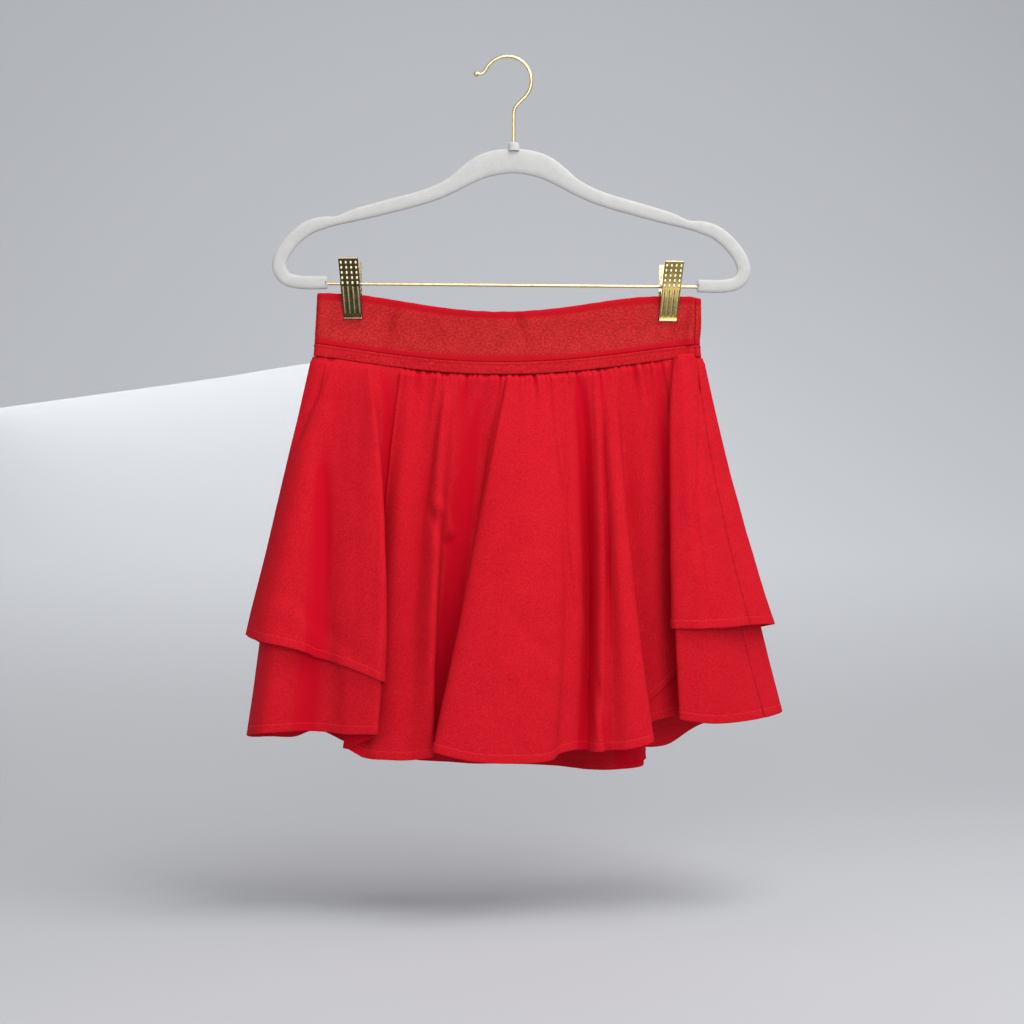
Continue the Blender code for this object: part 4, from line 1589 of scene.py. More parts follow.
# ---------------------------------------------------------------- waistband
@dataclass
class Band:
    """A loop of the flattened waist between two edges: the elastic, or the strip below it."""

    name: str
    waist: Waist
    foot: bool
    wall: float = 1.6
    rows: int = 26
    strip_height: float = 11.0
    gap: float = 0.06
    visual_wall: float = 1.3
    station_pitch: float = 1.8
    end_steps: int = 9
    join_margin: float = 0.5
    join_gap: float = 0.14
    join_ridge: PressedLine = PressedLine(0.5, -1.5, 0.9)
    outer_round: Limits = (0.5, 0.8)
    inner_round: Limits = (0.12, 0.5)
    top_groove: PressedLine = PressedLine(-0.22, 6.6, 0.6)
    foot_groove: PressedLine = PressedLine(-0.22, 5.6, 0.6)
    edge_blend: float = 0.4
    swell: Ripple = Ripple(0.3, 30.0, 7.0)
    strip_roll: PressedLine = PressedLine(0.35, 1.2, 1.0)
    strip_groove: PressedLine = PressedLine(-0.3, 2.9, 0.6)
    strip_pucker: Ripple = Ripple(0.2, 4.5, 2.0)
    strip_swell: Ripple = Ripple(0.3, 14.0, 4.0)
    front_wave: Ripple = Ripple(0.35, 9.0, 2.0)
    back_wave: Ripple = Ripple(0.35, 9.0, 4.0)
    ripple_y: float = 8.0
    clip_foot_z: float = -243.0
    clip_blend: float = 6.0
    clip_foot_blend: float = 8.0
    end_lean: float = 3.0
    end_lean_reach: float = 24.0
    end_waist: PressedLine = PressedLine(1.3, -263.0, 10.0)
    end_waist_reach: float = 14.0

    def stations(self) -> list[tuple[float, Side]]:
        """Set out the places round the band, from its join and back to it.

        Returns:
            Each place across and its side.
        """
        waist = self.waist
        arcs = [1.0 - math.cos(math.pi / 2 * step / self.end_steps) for step in range(self.end_steps)]
        low = waist.left + waist.end_radius
        high = waist.right - waist.end_radius
        steps = round((high - low) / self.station_pitch)
        across = [lerp(low, high, step / steps) for step in range(steps + 1)]
        left = [waist.left + waist.end_radius * arc for arc in arcs]
        right = [waist.right - waist.end_radius * arc for arc in arcs]
        start = [waist.join_x] + [x for x in across if x > waist.join_x + self.join_margin]
        end = [x for x in across if x < waist.join_x - self.join_margin] + [waist.join_x]
        front_start = [(x, Side.FRONT) for x in start + right[:0:-1]]
        back = [(x, Side.BACK) for x in right + across[::-1] + left[:0:-1]]
        return front_start + back + [(x, Side.FRONT) for x in left + end]

    def edges(self, x: float, side: Side) -> tuple[float, float]:
        """Find the loop's edges.

        Args:
            x: place across.
            side: side of the skirt.

        Returns:
            Heights of its top and bottom.
        """
        split = self.waist.seam(x) + self.strip_height
        if self.foot:
            return split, self.waist.seam(x)
        return self.waist.band_top(x, side), split + self.gap

    def relief(self, x: float, z: float, side: Side, from_top: float, from_foot: float) -> float:
        """Find the height of the weave's edges and of the dents over the plain band.

        Args:
            x: place across.
            z: height.
            side: side of the skirt.
            from_top: distance below the loop's top edge.
            from_foot: distance above its bottom edge.

        Returns:
            The height of the cloth there.
        """
        place = (x, self.ripple_y * side.value, z)
        outer, inner = (from_foot, from_top) if self.foot else (from_top, from_foot)
        rounding = 0.0
        for distance, (depth, reach) in ((outer, self.outer_round), (inner, self.inner_round)):
            rounding -= depth * ramp(distance, reach, 0.0)
        if self.foot:
            pucker = self.strip_pucker.at(*place) + self.strip_swell.at(*place)
            return rounding + pucker + self.strip_roll.at(from_top) + self.strip_groove.at(from_top)
        total = rounding + self.top_groove.at(from_top) + self.foot_groove.at(from_foot)
        total += self.swell.at(*place)
        if side is Side.FRONT:
            total += sum(dent.at(x, z) for dent in BAND_DENTS)
            total += self.join_ridge.at(x - self.waist.join_x)
        near_clip = min(abs(x - clip) for clip in self.waist.clips) - self.waist.clip_flat
        free = ramp(z, self.clip_foot_z, self.clip_foot_z - self.clip_foot_blend)
        return total * max(ramp(near_clip, 0.0, self.clip_blend), free)

    def plainness(self, from_top: float, from_foot: float) -> float:
        """Mark of a point: 1 on the strip and on the band's woven edges, 0 on its satin."""
        if self.foot:
            return 1.0
        past = min(from_top - self.top_groove.place, from_foot - self.foot_groove.place)
        return ramp(past, self.edge_blend, -self.edge_blend)

    def build(self, material: Material) -> Object:
        """Build the loop.

        Args:
            material: its finish.

        Returns:
            The loop's object.
        """
        stations = self.stations()
        waist = self.waist
        whole = waist.top_z - waist.seam_foot_z
        plan = [Vector((x, side.value * waist.half_depth(x, 0.5), 0.0)) for x, side in stations]
        bordered = [plan[-2]] + plan + [plan[1]]
        along = running_lengths(plan)
        columns = len(stations) - 1
        apart = {0: self.join_gap / 2, columns: -self.join_gap / 2}

        def place(column: int, row: int) -> Placed:
            """Find the loop's point for the mesh.

            Args:
                column: its station.
                row: its row from the top.

            Returns:
                The point.
            """
            x, side = stations[column]
            top, foot = self.edges(x, side)
            share = row / self.rows
            z = lerp(top, foot, share)
            down = (waist.band_top(x, side) - z) / whole
            offset = self.wall / 2 + self.relief(x, z, side, top - z, z - foot)
            point = Vector((x, side.value * waist.half_depth(x, down), z))
            point += outward(bordered, column) * offset
            lean_from = waist.left + self.end_lean_reach
            point.x += self.end_lean * (1.0 - down) * ramp(x, lean_from, waist.left)
            point.x -= self.end_waist.at(z) * ramp(x, waist.right - self.end_waist_reach, waist.right)
            point.x += apart.get(column, 0.0)
            wave = (self.front_wave if side is Side.FRONT else self.back_wave).at(x)
            point.z += wave * (share if self.foot else share - 1.0)
            return Placed(point, (along[column], z), self.plainness(top - z, z - foot))

        sheet = shaped_grid(columns, self.rows, place)
        piece = to_object(self.name + "_cloth", sheet, material, (self.name,))
        thicken(piece, self.visual_wall)
        LOG.info("%s: %d stations", piece.name, len(stations))
        return piece


# ---------------------------------------------------------------- hanger
class ArmSection(NamedTuple):
    """One section of half the hanger: its centre, measured from the stem, and its height."""

    name: str
    x: float
    z: float
    width: float


HANGER_ARM = (
    ArmSection("crown_middle", 0, -95.6, 22.6),
    ArmSection("crown_side", 14, -96.8, 23.0),
    ArmSection("crown_shoulder", 29, -101.0, 22.0),
    ArmSection("crown_foot", 43, -109.0, 18.5),
    ArmSection("arm_root", 57, -118.4, 14.6),
    ArmSection("arm_upper", 78, -128.2, 13.2),
    ArmSection("arm_lower", 120, -140.3, 12.8),
    ArmSection("arm_end", 147, -147.6, 11.4),
    ArmSection("notch", 164, -153.0, 8.4),
    ArmSection("notch_lip", 176, -155.0, 11.6),
    ArmSection("loop_top", 190, -160.0, 13.0),
    ArmSection("loop_upper", 205, -172.4, 13.0),
    ArmSection("loop_outer", 214.4, -186.5, 13.0),
    ArmSection("loop_side", 216.2, -197.0, 12.8),
    ArmSection("loop_lower", 210.6, -206.2, 12.4),
    ArmSection("loop_foot", 199, -209.8, 12.2),
    ArmSection("tube_end", 172, -210.0, 12.0),
)


@dataclass(frozen=True)
class Hanger:
    """The flocked body with its collar, the hook and the bar."""

    stem_x: float = 5.7
    depth: float = 6.0
    rounding: float = 2.7
    ring_points: int = 28
    steps: int = 7
    end_steps: int = 4
    end_reach: float = 1.8
    collar_profile: tuple[tuple[float, float], ...] = (
        (0.0, -84.0), (5.9, -86.5), (5.6, -84.0), (5.1, -81.0), (4.6, -79.3), (3.6, -78.5), (1.75, -78.4))
    hook_radius: float = 22.3
    wire_radius: float = 1.6
    ball_radius: float = 2.6
    arc: tuple[float, float] = (153.0, -42.0)
    tip: tuple[tuple[float, float], ...] = ((-28.9, -15.4), (-24.6, -15.2), (-21.9, -13.4))
    neck: tuple[tuple[float, float], ...] = ((11.6, -40.6), (7.6, -45.2), (5.9, -50.4))
    stem_z: tuple[float, ...] = (-56.0, -70.0, -78.6, -92.0)
    wire_sides: int = 20
    arc_steps: int = 40
    close_knots: float = 6.0
    close_steps: int = 3
    open_steps: int = 6
    ball_steps: int = 12
    collar_steps: int = 32
    bar_radius: float = 1.5
    bar_half: float = 181.0

    def flat_ring(self, width: float, depth: float) -> list[tuple[float, float]]:
        """Draw a rounded strip's section.

        Args:
            width: its width.
            depth: its depth.

        Returns:
            Its points, as offsets.
        """
        power = 2 / self.rounding
        ring = []
        for index in range(self.ring_points):
            angle = 2 * math.pi * (index + 0.5) / self.ring_points
            across = math.copysign(abs(math.cos(angle)) ** power, math.cos(angle))
            deep = math.copysign(abs(math.sin(angle)) ** power, math.sin(angle))
            ring.append((across * width / 2, deep * depth / 2))
        return ring

    def body_line(self) -> tuple[list[Vector], list[float]]:
        """Follow the body from one tube end over the crown to the other.

        Returns:
            Its points and its widths at them.
        """
        mirrored = [section._replace(x=-section.x) for section in HANGER_ARM[:0:-1]]
        knots = [Vector((section.x, section.z, section.width)) for section in [*mirrored, *HANGER_ARM]]
        line = spline_path(knots, lambda distance: self.steps)
        return [Vector((self.stem_x + point.x, 0.0, point.y)) for point in line], [point.z for point in line]

    def rounded_end(self, point: Vector, inner: Vector, width: float) -> list[tuple[Vector, list]]:
        """Round off an end of the body.

        Args:
            point: the end.
            inner: the next point of the body.
            width: the body's width at the end.

        Returns:
            The sections' centres and rings, from the end inwards.
        """
        inward = (inner - point).normalized()
        made = []
        for step in range(self.end_steps + 1):
            turn = math.pi / 2 * step / self.end_steps
            shrink = 2 * self.end_reach * (1.0 - math.sin(turn))
            centre = point + inward * self.end_reach * (1.0 - math.cos(turn))
            made.append((centre, self.flat_ring(width - shrink, self.depth - shrink)))
        return made

    def build_body(self, material: Material) -> None:
        """Build the flocked body, with soft tube ends, and its collar.

        Args:
            material: its finish.
        """
        path, widths = self.body_line()
        middle = [(point, self.flat_ring(width, self.depth)) for point, width in zip(path, widths)]
        start = self.rounded_end(path[0], path[1], widths[0])
        end = self.rounded_end(path[-1], path[-2], widths[-1])
        centres, rings = zip(*start, *middle[1:-1], *end[::-1])
        body = swept(centres, rings)
        self.add_collar(body)
        to_object("hanger_flocked_body", body, material, ("hanger_body",), sharp=50.0)

    def add_collar(self, body: BMesh) -> None:
        """Turn the collar's profile about the stem.

        Args:
            body: the mesh that it joins.
        """
        points = [body.verts.new((self.stem_x + radius, 0.0, z)) for radius, z in self.collar_profile]
        edges = [body.edges.new(pair) for pair in zip(points, points[1:])]
        bmesh.ops.spin(body, geom=points + edges, cent=(self.stem_x, 0.0, 0.0), axis=(0.0, 0.0, 1.0),
                       angle=2 * math.pi, steps=self.collar_steps, use_merge=True)
        bmesh.ops.remove_doubles(body, verts=body.verts, dist=0.01)
        bmesh.ops.recalc_face_normals(body, faces=body.faces)

    def wire_steps(self, distance: float) -> int:
        """Number of steps between two knots of the hook at a distance."""
        return self.close_steps if distance < self.close_knots else self.open_steps

    def hook_line(self) -> tuple[list[Vector], list[float]]:
        """Follow the hook's wire from its ball round the arc and down the stem.

        Returns:
            Its points and its radii at them.
        """
        turns = [math.radians(lerp(*self.arc, step / self.arc_steps)) for step in range(self.arc_steps + 1)]
        centre_z = self.wire_radius - self.hook_radius
        arc = [(self.hook_radius * math.cos(turn), centre_z + self.hook_radius * math.sin(turn))
               for turn in turns]
        stem = [(self.stem_x, z) for z in self.stem_z]
        knots = [Vector((x, z, 0.0)) for x, z in [*self.tip, *arc, *self.neck, *stem]]
        ball = knots[0]
        outwards = (knots[0] - knots[1]).normalized()
        reach = math.sqrt(self.ball_radius ** 2 - self.wire_radius ** 2)
        start = []
        radii = []
        for step in range(1, self.ball_steps):
            angle = math.pi * step / self.ball_steps
            off = self.ball_radius * math.cos(angle)
            if off > -reach:
                start.append(ball + outwards * off)
                radii.append(self.ball_radius * math.sin(angle))
        wire = spline_path(knots, self.wire_steps)
        path = [point for point in wire if (point - ball).length > reach]
        radii += [self.wire_radius] * len(path)
        return [Vector((point.x, 0.0, point.y)) for point in start + path], radii

    def build_hook(self, material: Material) -> None:
        """Build the hook."""
        path, radii = self.hook_line()
        body = swept(path, [round_ring(radius, self.wire_sides) for radius in radii])
        to_object("hook_wire", body, material, ("hook",), sharp=60.0)

    def build_bar(self, material: Material) -> None:
        """Build the bar.

        Args:
            material: its finish.
        """
        rod = bmesh.new()
        place = Matrix.Translation((self.stem_x, 0.0, BAR_Z)) @ ACROSS
        bmesh.ops.create_cone(rod, cap_ends=True, segments=self.wire_sides, radius1=self.bar_radius,
                              radius2=self.bar_radius, depth=2 * self.bar_half, matrix=place)
        to_object("clip_bar_rod", rod, material, ("clip_bar",), sharp=60.0)


# ---------------------------------------------------------------- clips
class JawPoint(NamedTuple):
    """A point of the jaw plate's middle in side view: distance out from the bar, and height."""

    name: str
    out: float
    z: float


JAW_PROFILE = (
    JawPoint("thumb_edge", 13.6, 22.4),
    JawPoint("thumb_plate", 10.8, 12.0),
    JawPoint("shoulder", 8.6, 2.0),
    JawPoint("belly", 7.0, -10.0),
    JawPoint("throat", 4.4, -22.0),
    JawPoint("grip", 2.85, -28.6),
    JawPoint("lip", 3.9, -31.8),
)


@dataclass(frozen=True)
class Clip:
    """A clip on the bar, in its own frame with the bar at the origin."""

    name: str
    x: float
    lean: float
    yaw: float
    top_width: float = 18.4
    foot_width: float = 17.6
    plate: float = 0.9
    columns: int = 76
    rows: int = 180
    flat_share: float = 0.88
    corner: float = 0.7
    flange: float = 0.8
    slope_step: float = 0.05
    dot_pitch: float = 4.55
    dot_columns: int = 4
    dot_rows: int = 5
    dot_top_z: float = 18.6
    dot_radius: float = 0.95
    dot_height: float = 0.45
    # the mark's painted highlights: on the dots, faintly along the ribs, and on the plate's top and foot
    # edges
    dot_marked: Limits = (0.25, 0.55)
    rib_top_z: float = -2.5
    rib_foot_z: float = -27.6
    rib_blend: float = 1.5
    rib_height: float = 0.5
    rib_radius: float = 1.1
    # strength of the painted highlights on the ribs, then on the top and foot edges
    rib_glint: float = 0.2
    rib_marked: Limits = (0.35, 0.75)
    top_mark: float = 0.45
    foot_lip_glint: float = 0.15
    lip_marked: Limits = (0.477, 0.485)
    ear_sides: int = 28
    ear_thickness: float = 0.9
    ear_radius: float = 4.9
    ear_bore: float = 2.5
    ear_places: tuple[float, float] = (8.2, 6.9)
    web_corners: tuple[Limits, ...] = ((8.9, 9.0), (4.2, 3.6), (3.6, -3.2), (7.4, -9.0))
    web_inset: float = 0.1
    spring_radius: float = 3.65
    spring_wire: float = 0.5
    spring_half: float = 6.1
    spring_turns: int = 9
    spring_sides: int = 8
    turn_steps: int = 20

    def place(self, mesh_data: BMesh) -> BMesh:
        """Move a shape from the clip's own frame to its place on the bar.

        Args:
            mesh_data: the shape.

        Returns:
            The same shape.
        """
        leaned = Matrix.Shear("XY", 4, (-math.tan(math.radians(self.lean)), 0.0))
        turned = Matrix.Rotation(math.radians(self.yaw), 4, "Z")
        matrix = Matrix.Translation((self.x, 0.0, BAR_Z)) @ leaned @ turned
        bmesh.ops.transform(mesh_data, matrix=matrix, verts=mesh_data.verts)
        return mesh_data

    def profile(self, share: float) -> tuple[Vector, Vector]:
        """Follow the jaw in side view.

        Args:
            share: share of the way down the jaw.

        Returns:
            The point and the outward direction, as (out, z).
        """
        z = lerp(JAW_PROFILE[0].z, JAW_PROFILE[-1].z, share)
        index = 0
        while index < len(JAW_PROFILE) - 2 and z < JAW_PROFILE[index + 1].z:
            index += 1
        corners = neighbours([Vector((knot.out, knot.z, 0.0)) for knot in JAW_PROFILE], index)
        local = (JAW_PROFILE[index].z - z) / (JAW_PROFILE[index].z - JAW_PROFILE[index + 1].z)
        here = spline_point(corners, local)
        after = spline_point(corners, min(local + self.slope_step, 1.0))
        before = spline_point(corners, max(local - self.slope_step, 0.0))
        down = (after - before).normalized()
        return here.xy, Vector((-down.y, down.x))

    def from_line(self, x: float) -> float:
        """Distance across from the middle of the nearest column of dots, which a rib goes on from."""
        return min(abs(x - (index - (self.dot_columns - 1) / 2) * self.dot_pitch)
                   for index in range(self.dot_columns))

    def from_row(self, z: float) -> float:
        """Distance in height from the middle of the nearest row of dots."""
        return min(abs(z - self.dot_top_z + index * self.dot_pitch) for index in range(self.dot_rows))

    def dots(self, x: float, z: float) -> float:
        """Height of the raised dots at a place, as a share of their full height."""
        away = math.hypot(self.from_line(x), self.from_row(z)) / self.dot_radius
        return math.sqrt(max(1.0 - away * away, 0.0))

    def ribs(self, x: float, z: float) -> float:
        """Height of the pressed ribs at a place, as a share of their full height."""
        ends = ramp(z, self.rib_top_z, self.rib_top_z - self.rib_blend) * ramp(
            z, self.rib_foot_z, self.rib_foot_z + self.rib_blend)
        return ends * math.cos(math.pi / 2 * min(self.from_line(x) / self.rib_radius, 1.0))

    def build_jaw(self, jaw: str, side: float, material: Material) -> None:
        """Build a jaw: a bent plate with dots, ribs and turned edges, and its two ears.

        Args:
            jaw: the jaw's name.
            side: sign of its outward direction along Y.
            material: its finish.
        """
        def place(column: int, row: int) -> Placed:
            """Find a point of the plate's outer face.

            Args:
                column: its column across.
                row: its row from the top.

            Returns:
                The point.
            """
            across = 2.0 * column / self.columns - 1.0
            share = row / self.rows
            centre, out_way = self.profile(share)
            half = lerp(self.top_width, self.foot_width, share) / 2
            turned = max(abs(across) - self.flat_share, 0.0) / (1.0 - self.flat_share)
            x = min(abs(across) / self.flat_share, 1.0) * (half - self.corner)
            x += self.corner * math.sin(turned * math.pi / 2)
            x = math.copysign(x, across)
            back = self.corner * (1.0 - math.cos(turned * math.pi / 2)) + self.flange * turned * turned
            dots = self.dots(x, centre.y)
            ribs = self.ribs(x, centre.y)
            lift = self.plate / 2 + self.dot_height * dots + self.rib_height * ribs - back
            out = centre + out_way * lift
            # painted highlights on the dots, the ribs and the plate's top and foot edges
            lip = self.top_mark if share < 0.5 else self.foot_lip_glint
            mark = max(ramp(dots, *self.dot_marked), self.rib_glint * ramp(ribs, *self.rib_marked),
                       lip * ramp(abs(share - 0.5), *self.lip_marked))
            return Placed(Vector((x * -side, side * out.x, out.y)), (x, centre.y), mark)

        plate = shaped_grid(self.columns, self.rows, place)
        bmesh.ops.solidify(plate, geom=plate.faces[:], thickness=self.plate)
        ear_x = self.ear_places[0] if jaw == "front" else self.ear_places[1]
        for hand in (-1.0, 1.0):
            self.add_ear(plate, side, hand * ear_x, hand)
        name = "clip_{}_{}_jaw".format(self.name, jaw)
        to_object(name + "_plate", self.place(plate), material, (name,), sharp=35.0)

    def add_ear(self, plate: BMesh, side: float, inner_x: float, hand: float) -> None:
        """Add an ear: a ring round the bar and the web that joins it to the plate.

        Args:
            plate: the jaw's mesh.
            side: sign of the jaw's outward direction along Y.
            inner_x: place across of the ear's inner face.
            hand: sign of the ear's outward direction along X.
        """
        before = set(plate.verts)
        place = Matrix.Translation((inner_x, 0.0, 0.0)) @ ACROSS
        rings = []
        for radius in (self.ear_radius, self.ear_bore):
            rings += bmesh.ops.create_circle(plate, segments=self.ear_sides, radius=radius,
                                             matrix=place)["verts"]
        edges = list({edge for vert in rings for edge in vert.link_edges})
        faces = bmesh.ops.bridge_loops(plate, edges=edges)["faces"]
        self.extrude_across(plate, faces, hand * self.ear_thickness)
        web_x = inner_x + hand * self.web_inset
        web = [plate.verts.new((web_x, side * out, z)) for out, z in self.web_corners]
        web_reach = hand * (self.ear_thickness - 2 * self.web_inset)
        self.extrude_across(plate, [plate.faces.new(web)], web_reach)
        fresh = [vert for vert in plate.verts if vert not in before]
        faces = list({face for vert in fresh for face in vert.link_faces})
        bmesh.ops.recalc_face_normals(plate, faces=faces)

    @staticmethod
    def extrude_across(plate: BMesh, faces: list[BMFace], reach: float) -> None:
        """Extrude faces along X into a closed solid.

        Args:
            plate: the mesh.
            faces: the faces, which stay.
            reach: how far, with its sign.
        """
        grown = bmesh.ops.extrude_face_region(plate, geom=faces, use_keep_orig=True)["geom"]
        moved = [item for item in grown if isinstance(item, BMVert)]
        bmesh.ops.translate(plate, vec=(reach, 0.0, 0.0), verts=moved)

    def build_spring(self, material: Material) -> None:
        """Build the coil round the bar.

        Args:
            material: its finish.
        """
        steps = self.turn_steps * self.spring_turns
        wire = round_ring(self.spring_wire, self.spring_sides)
        rings = []
        for step in range(steps + 1):
            angle = 2 * math.pi * step / self.turn_steps
            radial = Vector((0.0, math.cos(angle), math.sin(angle)))
            x = lerp(-self.spring_half, self.spring_half, step / steps)
            rings.append([Vector((x + across, 0.0, 0.0)) + radial * (self.spring_radius + out)
                          for out, across in wire])
        name = "clip_{}_spring".format(self.name)
        to_object(name + "_coil", self.place(tube(rings)), material, (name,), sharp=60.0)

    def build(self, plate: Material, wire: Material) -> None:
        """Build the clip.

        Args:
            plate: the front plate's finish.
            wire: the finish of the rest.
        """
        self.build_jaw("front", -1.0, plate)
        self.build_jaw("back", 1.0, wire)
        self.build_spring(wire)
        LOG.info("clip %s", self.name)


# ---------------------------------------------------------------- skirt
class Cut(NamedTuple):
    """A panel's cut: its width and length in metres, and its area in square metres."""

    width: float
    length: float
    area: float


CUTS = {
    "base_front": Cut(0.80, 0.38, 0.24),
    "base_back": Cut(0.62, 0.40, 0.20),
    "overlay_front": Cut(0.80, 0.38, 0.22),
    "overlay_back": Cut(0.62, 0.40, 0.18),
}


@dataclass
class SkirtCloth:
    """The whole skirt: waistband, strip, four panels and their hem stitches."""

    waist: Waist = Waist()

    def panels(self) -> list[Panel]:
        """Lay out the four panels.

        Returns:
            The panels, not yet built.
        """
        ring = FoldRing(self.waist)
        front_gathers = Gathers(-100.0, 152.0, seed=11)
        back_gathers = Gathers(-130.0, 140.0, seed=23)
        middle = len(FRONT_FOLDS)
        end = middle + len(BACK_FOLDS)
        made = []
        for skirt in Skirt:
            made.append(Panel(ring, skirt, Side.FRONT, 0, middle, FRONT_CREASES, FRONT_LAPS, front_gathers))
            made.append(Panel(ring, skirt, Side.BACK, middle, end, BACK_CREASES, BACK_LAPS, back_gathers))
        return made

    def build(self, knit: Material, strip: Material, elastic: Material,
              thread: Material) -> None:
        """Build every cloth piece and look up each panel's cut.

        Args:
            knit: finish of the panels.
            strip: finish of the waist strip.
            elastic: finish of the waistband.
            thread: finish of the stitches.
        """
        band = Band("waistband", self.waist, foot=False).build(elastic)
        binding = Band("waist_strip", self.waist, foot=True, wall=2.2, rows=12).build(strip)
        for panel in self.panels():
            piece = panel.build(knit)
            stitches = StitchRow(panel.name + "_hem_stitches").build(*panel.hem_line(), thread)
            cut = CUTS[panel.name]


# ---------------------------------------------------------------- studio
class Lamp(NamedTuple):
    """A soft rectangular light; places and sizes are in metres, and power is in watts."""

    name: str
    place: tuple[float, float, float]
    target: tuple[float, float, float]
    size: tuple[float, float]
    power: float
    colour: tuple[float, float, float]


LAMPS = (
    Lamp("key", (0.15, -2.6, 0.5), (0.0, 0.0, -0.42), (1.6, 1.0), 26.5, (1.0, 0.99, 0.98)),
    Lamp("fill", (-1.8, -2.3, 0.1), (0.0, 0.0, -0.42), (1.6, 1.8), 16.0, (0.99, 0.99, 1.0)),
    Lamp("low", (0.95, -2.5, -0.55), (0.02, 0.0, -0.6), (1.5, 0.7), 11.0, (1.0, 1.0, 1.0)),
    Lamp("top", (0.76, -0.62, 1.25), (0.0, 0.0, -0.6), (1.5, 1.5), 40.0, (1.0, 1.0, 1.0)),
    Lamp("back", (-0.35, 2.0, -0.1), (0.0, 0.0, -0.42), (1.2, 0.9), 11.0, (1.0, 1.0, 1.0)),
)


@dataclass(frozen=True)
class Studio:
    """Pale floor that sweeps up into a wall, soft lights and the camera."""

    floor_z: float = -790.0
    half_width: float = 9000.0
    front_y: float = -9000.0
    bend_y: float = 560.0
    bend_radius: float = 1900.0
    wall_top: float = 3600.0
    sweep_rows: int = 60
    bend_from: float = 0.4
    bend_to: float = 0.8
    air: Colour = (0.86, 0.87, 0.89, 1.0)
    air_strength: float = 0.48
    camera_place: tuple[float, float, float] = (-107.4, -1596.1, -421.6)
    camera_turn: float = -4.0
    lens: float = 60.55
    sensor: float = 36.0
    view_reach: float = 50.0

    def sweep_point(self, share: float) -> tuple[float, float]:
        """Follow the floor and the wall.

        Args:
            share: share of the way from the front.

        Returns:
            Depth and height.
        """
        if share < self.bend_from:
            return lerp(self.front_y, self.bend_y, share / self.bend_from), self.floor_z
        if share < self.bend_to:
            angle = (share - self.bend_from) / (self.bend_to - self.bend_from) * math.pi / 2
            return (self.bend_y + self.bend_radius * math.sin(angle),
                    self.floor_z + self.bend_radius * (1.0 - math.cos(angle)))
        up = (share - self.bend_to) / (1.0 - self.bend_to)
        return self.bend_y + self.bend_radius, lerp(self.floor_z + self.bend_radius, self.wall_top, up)

    def build_stage(self, paint: Material) -> None:
        """Build the floor and wall as one sweep.

        Args:
            paint: its finish.
        """
        sheet = bmesh.new()
        bmesh.ops.create_grid(sheet, x_segments=2, y_segments=self.sweep_rows, size=0.5)
        for vert in sheet.verts:
            depth, height = self.sweep_point(vert.co.y + 0.5)
            vert.co = Vector((vert.co.x * 2 * self.half_width, depth, height)) * MM
        mesh = bpy.data.meshes.new("studio_sweep")
        sheet.to_mesh(mesh)
        sheet.free()
        mesh.shade_smooth()
        mesh.materials.append(paint)
        stage = bpy.data.objects.new("studio_sweep", mesh)
        bpy.context.scene.collection.objects.link(stage)

    def build_lights(self) -> None:
        """Add the lights and the room's soft fill."""
        for lamp in LAMPS:
            source = bpy.data.lights.new(lamp.name, "AREA")
            source.shape = "RECTANGLE"
            source.size, source.size_y = lamp.size
            source.energy = lamp.power
            source.color = lamp.colour
            light = bpy.data.objects.new(lamp.name, source)
            light.visible_camera = False
            light.location = lamp.place
            aim = Vector(lamp.target) - Vector(lamp.place)
            light.rotation_euler = aim.to_track_quat("-Z", "Y").to_euler()
            bpy.context.scene.collection.objects.link(light)
        world = bpy.data.worlds.new("studio_air")
        world.use_nodes = True
        backdrop = world.node_tree.nodes["Background"]
        backdrop.inputs["Color"].default_value = self.air
        backdrop.inputs["Strength"].default_value = self.air_strength
        bpy.context.scene.world = world
        bpy.context.scene.view_settings.view_transform = "Standard"

    def build_camera(self) -> None:
        """Add the camera at the photograph's viewing angle."""
        lens = bpy.data.cameras.new("studio_camera")
        lens.lens = self.lens
        lens.sensor_width = self.sensor
        lens.clip_end = self.view_reach
        camera = bpy.data.objects.new("studio_camera", lens)
        camera.location = Vector(self.camera_place) * MM
        camera.rotation_euler = (math.pi / 2, 0.0, math.radians(self.camera_turn))
        bpy.context.scene.collection.objects.link(camera)
        bpy.context.scene.camera = camera


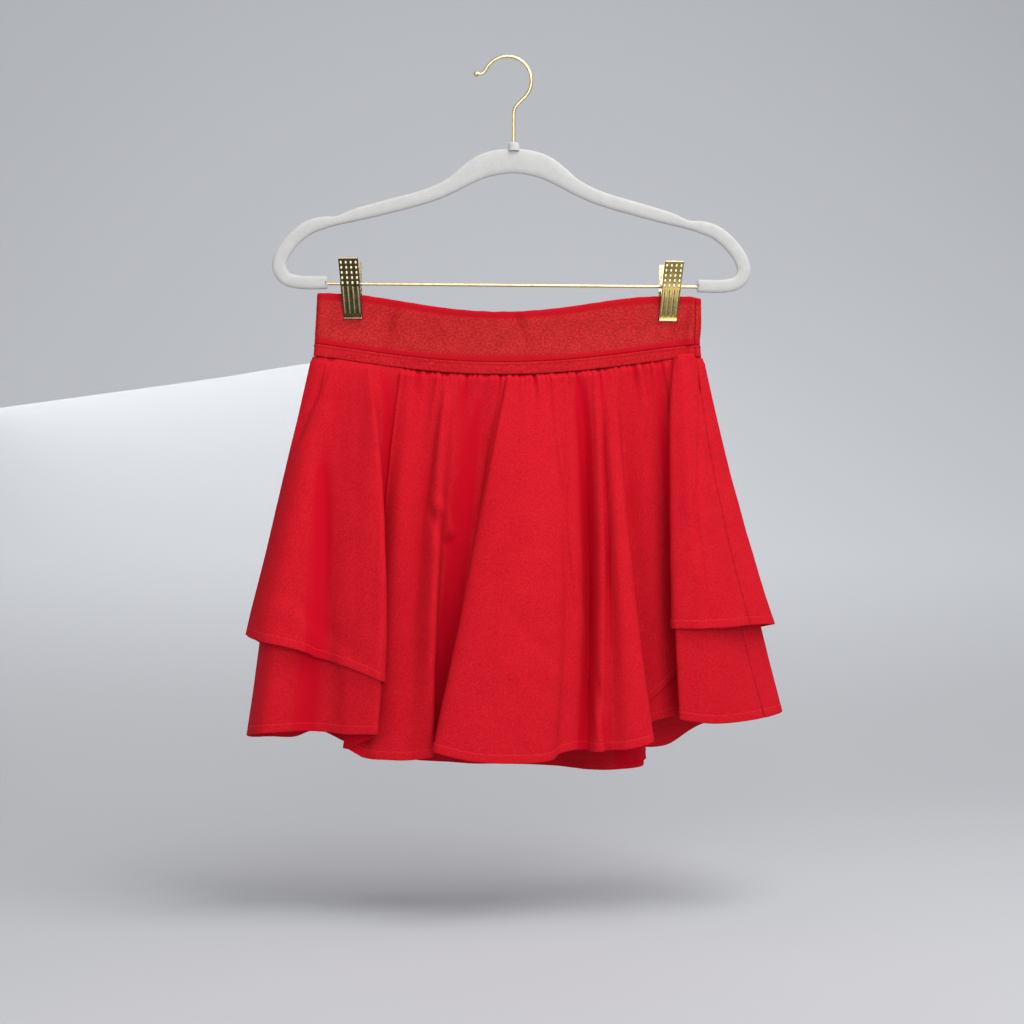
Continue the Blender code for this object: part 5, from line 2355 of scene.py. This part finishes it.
def main() -> None:
    """Build the studio and every piece."""
    logging.basicConfig(level=logging.INFO, format="%(name)s: %(message)s")
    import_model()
    studio = Studio()
    studio.build_camera()
    studio.build_lights()
    # the floor's darker colour is painted shade
    paint = PaintFinish("studio_paint", floor=(0.455, 0.465, 0.485, 1.0), wall=(0.60, 0.615, 0.64, 1.0))
    studio.build_stage(paint.material())

    # knit colours with painted light: fold is brighter red for deep folds, hollow plain red for shade, deep
    # and lit carry a painted sheen tint
    knit = KnitFinish("red_knit", fold=(0.58, 0.0008, 0.014, 1.0), hollow=(0.455, 0.0002, 0.010, 1.0),
                      deep=(0.42, 0.0016, 0.010, 1.0), lit=(0.515, 0.0085, 0.0165, 1.0))
    dark_red = (0.35, 0.002, 0.008, 1.0)
    strip = KnitFinish("red_binding", fold=dark_red, hollow=dark_red, deep=dark_red,
                       lit=(0.51, 0.013, 0.018, 1.0), sheen=0.04)
    elastic = ElasticFinish("red_elastic_satin", satin_low=(0.30, 0.001, 0.003, 1.0),
                            satin_high=(0.48, 0.011, 0.0115, 1.0), edge=(0.41, 0.0004, 0.007, 1.0))
    thread = ThreadFinish("red_thread", (0.62, 0.02, 0.03, 1.0))
    cloths = [finish.material() for finish in (knit, strip, elastic, thread)]
    flock = FlockFinish("off_white_flock", low=(0.41, 0.41, 0.40, 1.0), high=(0.48, 0.48, 0.47, 1.0))
    # each gold's pale third colour is its painted highlight
    gold = MetalFinish("pale_gold", plate=(0.74, 0.60, 0.34, 1.0), tarnish=(0.50, 0.38, 0.18, 1.0),
                       painted_glint=(0.90, 0.82, 0.62, 1.0), roughness=0.32).material()
    shaded_plate = MetalFinish("shaded_gold_plate", plate=(0.075, 0.055, 0.018, 1.0),
                               tarnish=(0.14, 0.105, 0.04, 1.0), painted_glint=(0.95, 0.88, 0.66, 1.0))
    lit_plate = MetalFinish("lit_gold_plate", plate=(0.25, 0.18, 0.055, 1.0),
                            tarnish=(0.35, 0.26, 0.09, 1.0), painted_glint=(0.97, 0.90, 0.68, 1.0))

    hanger = Hanger()
    hanger.build_body(flock.material())
    hanger.build_hook(gold)
    hanger.build_bar(gold)
    skirt = SkirtCloth()
    left_x, right_x = skirt.waist.clips
    Clip("left", left_x, lean=3.5, yaw=-6.0).build(shaded_plate.material(), gold)
    Clip("right", right_x, lean=-4.6, yaw=3.0).build(lit_plate.material(), gold)
    skirt.build(*cloths)


if __name__ == "__main__":
    main()
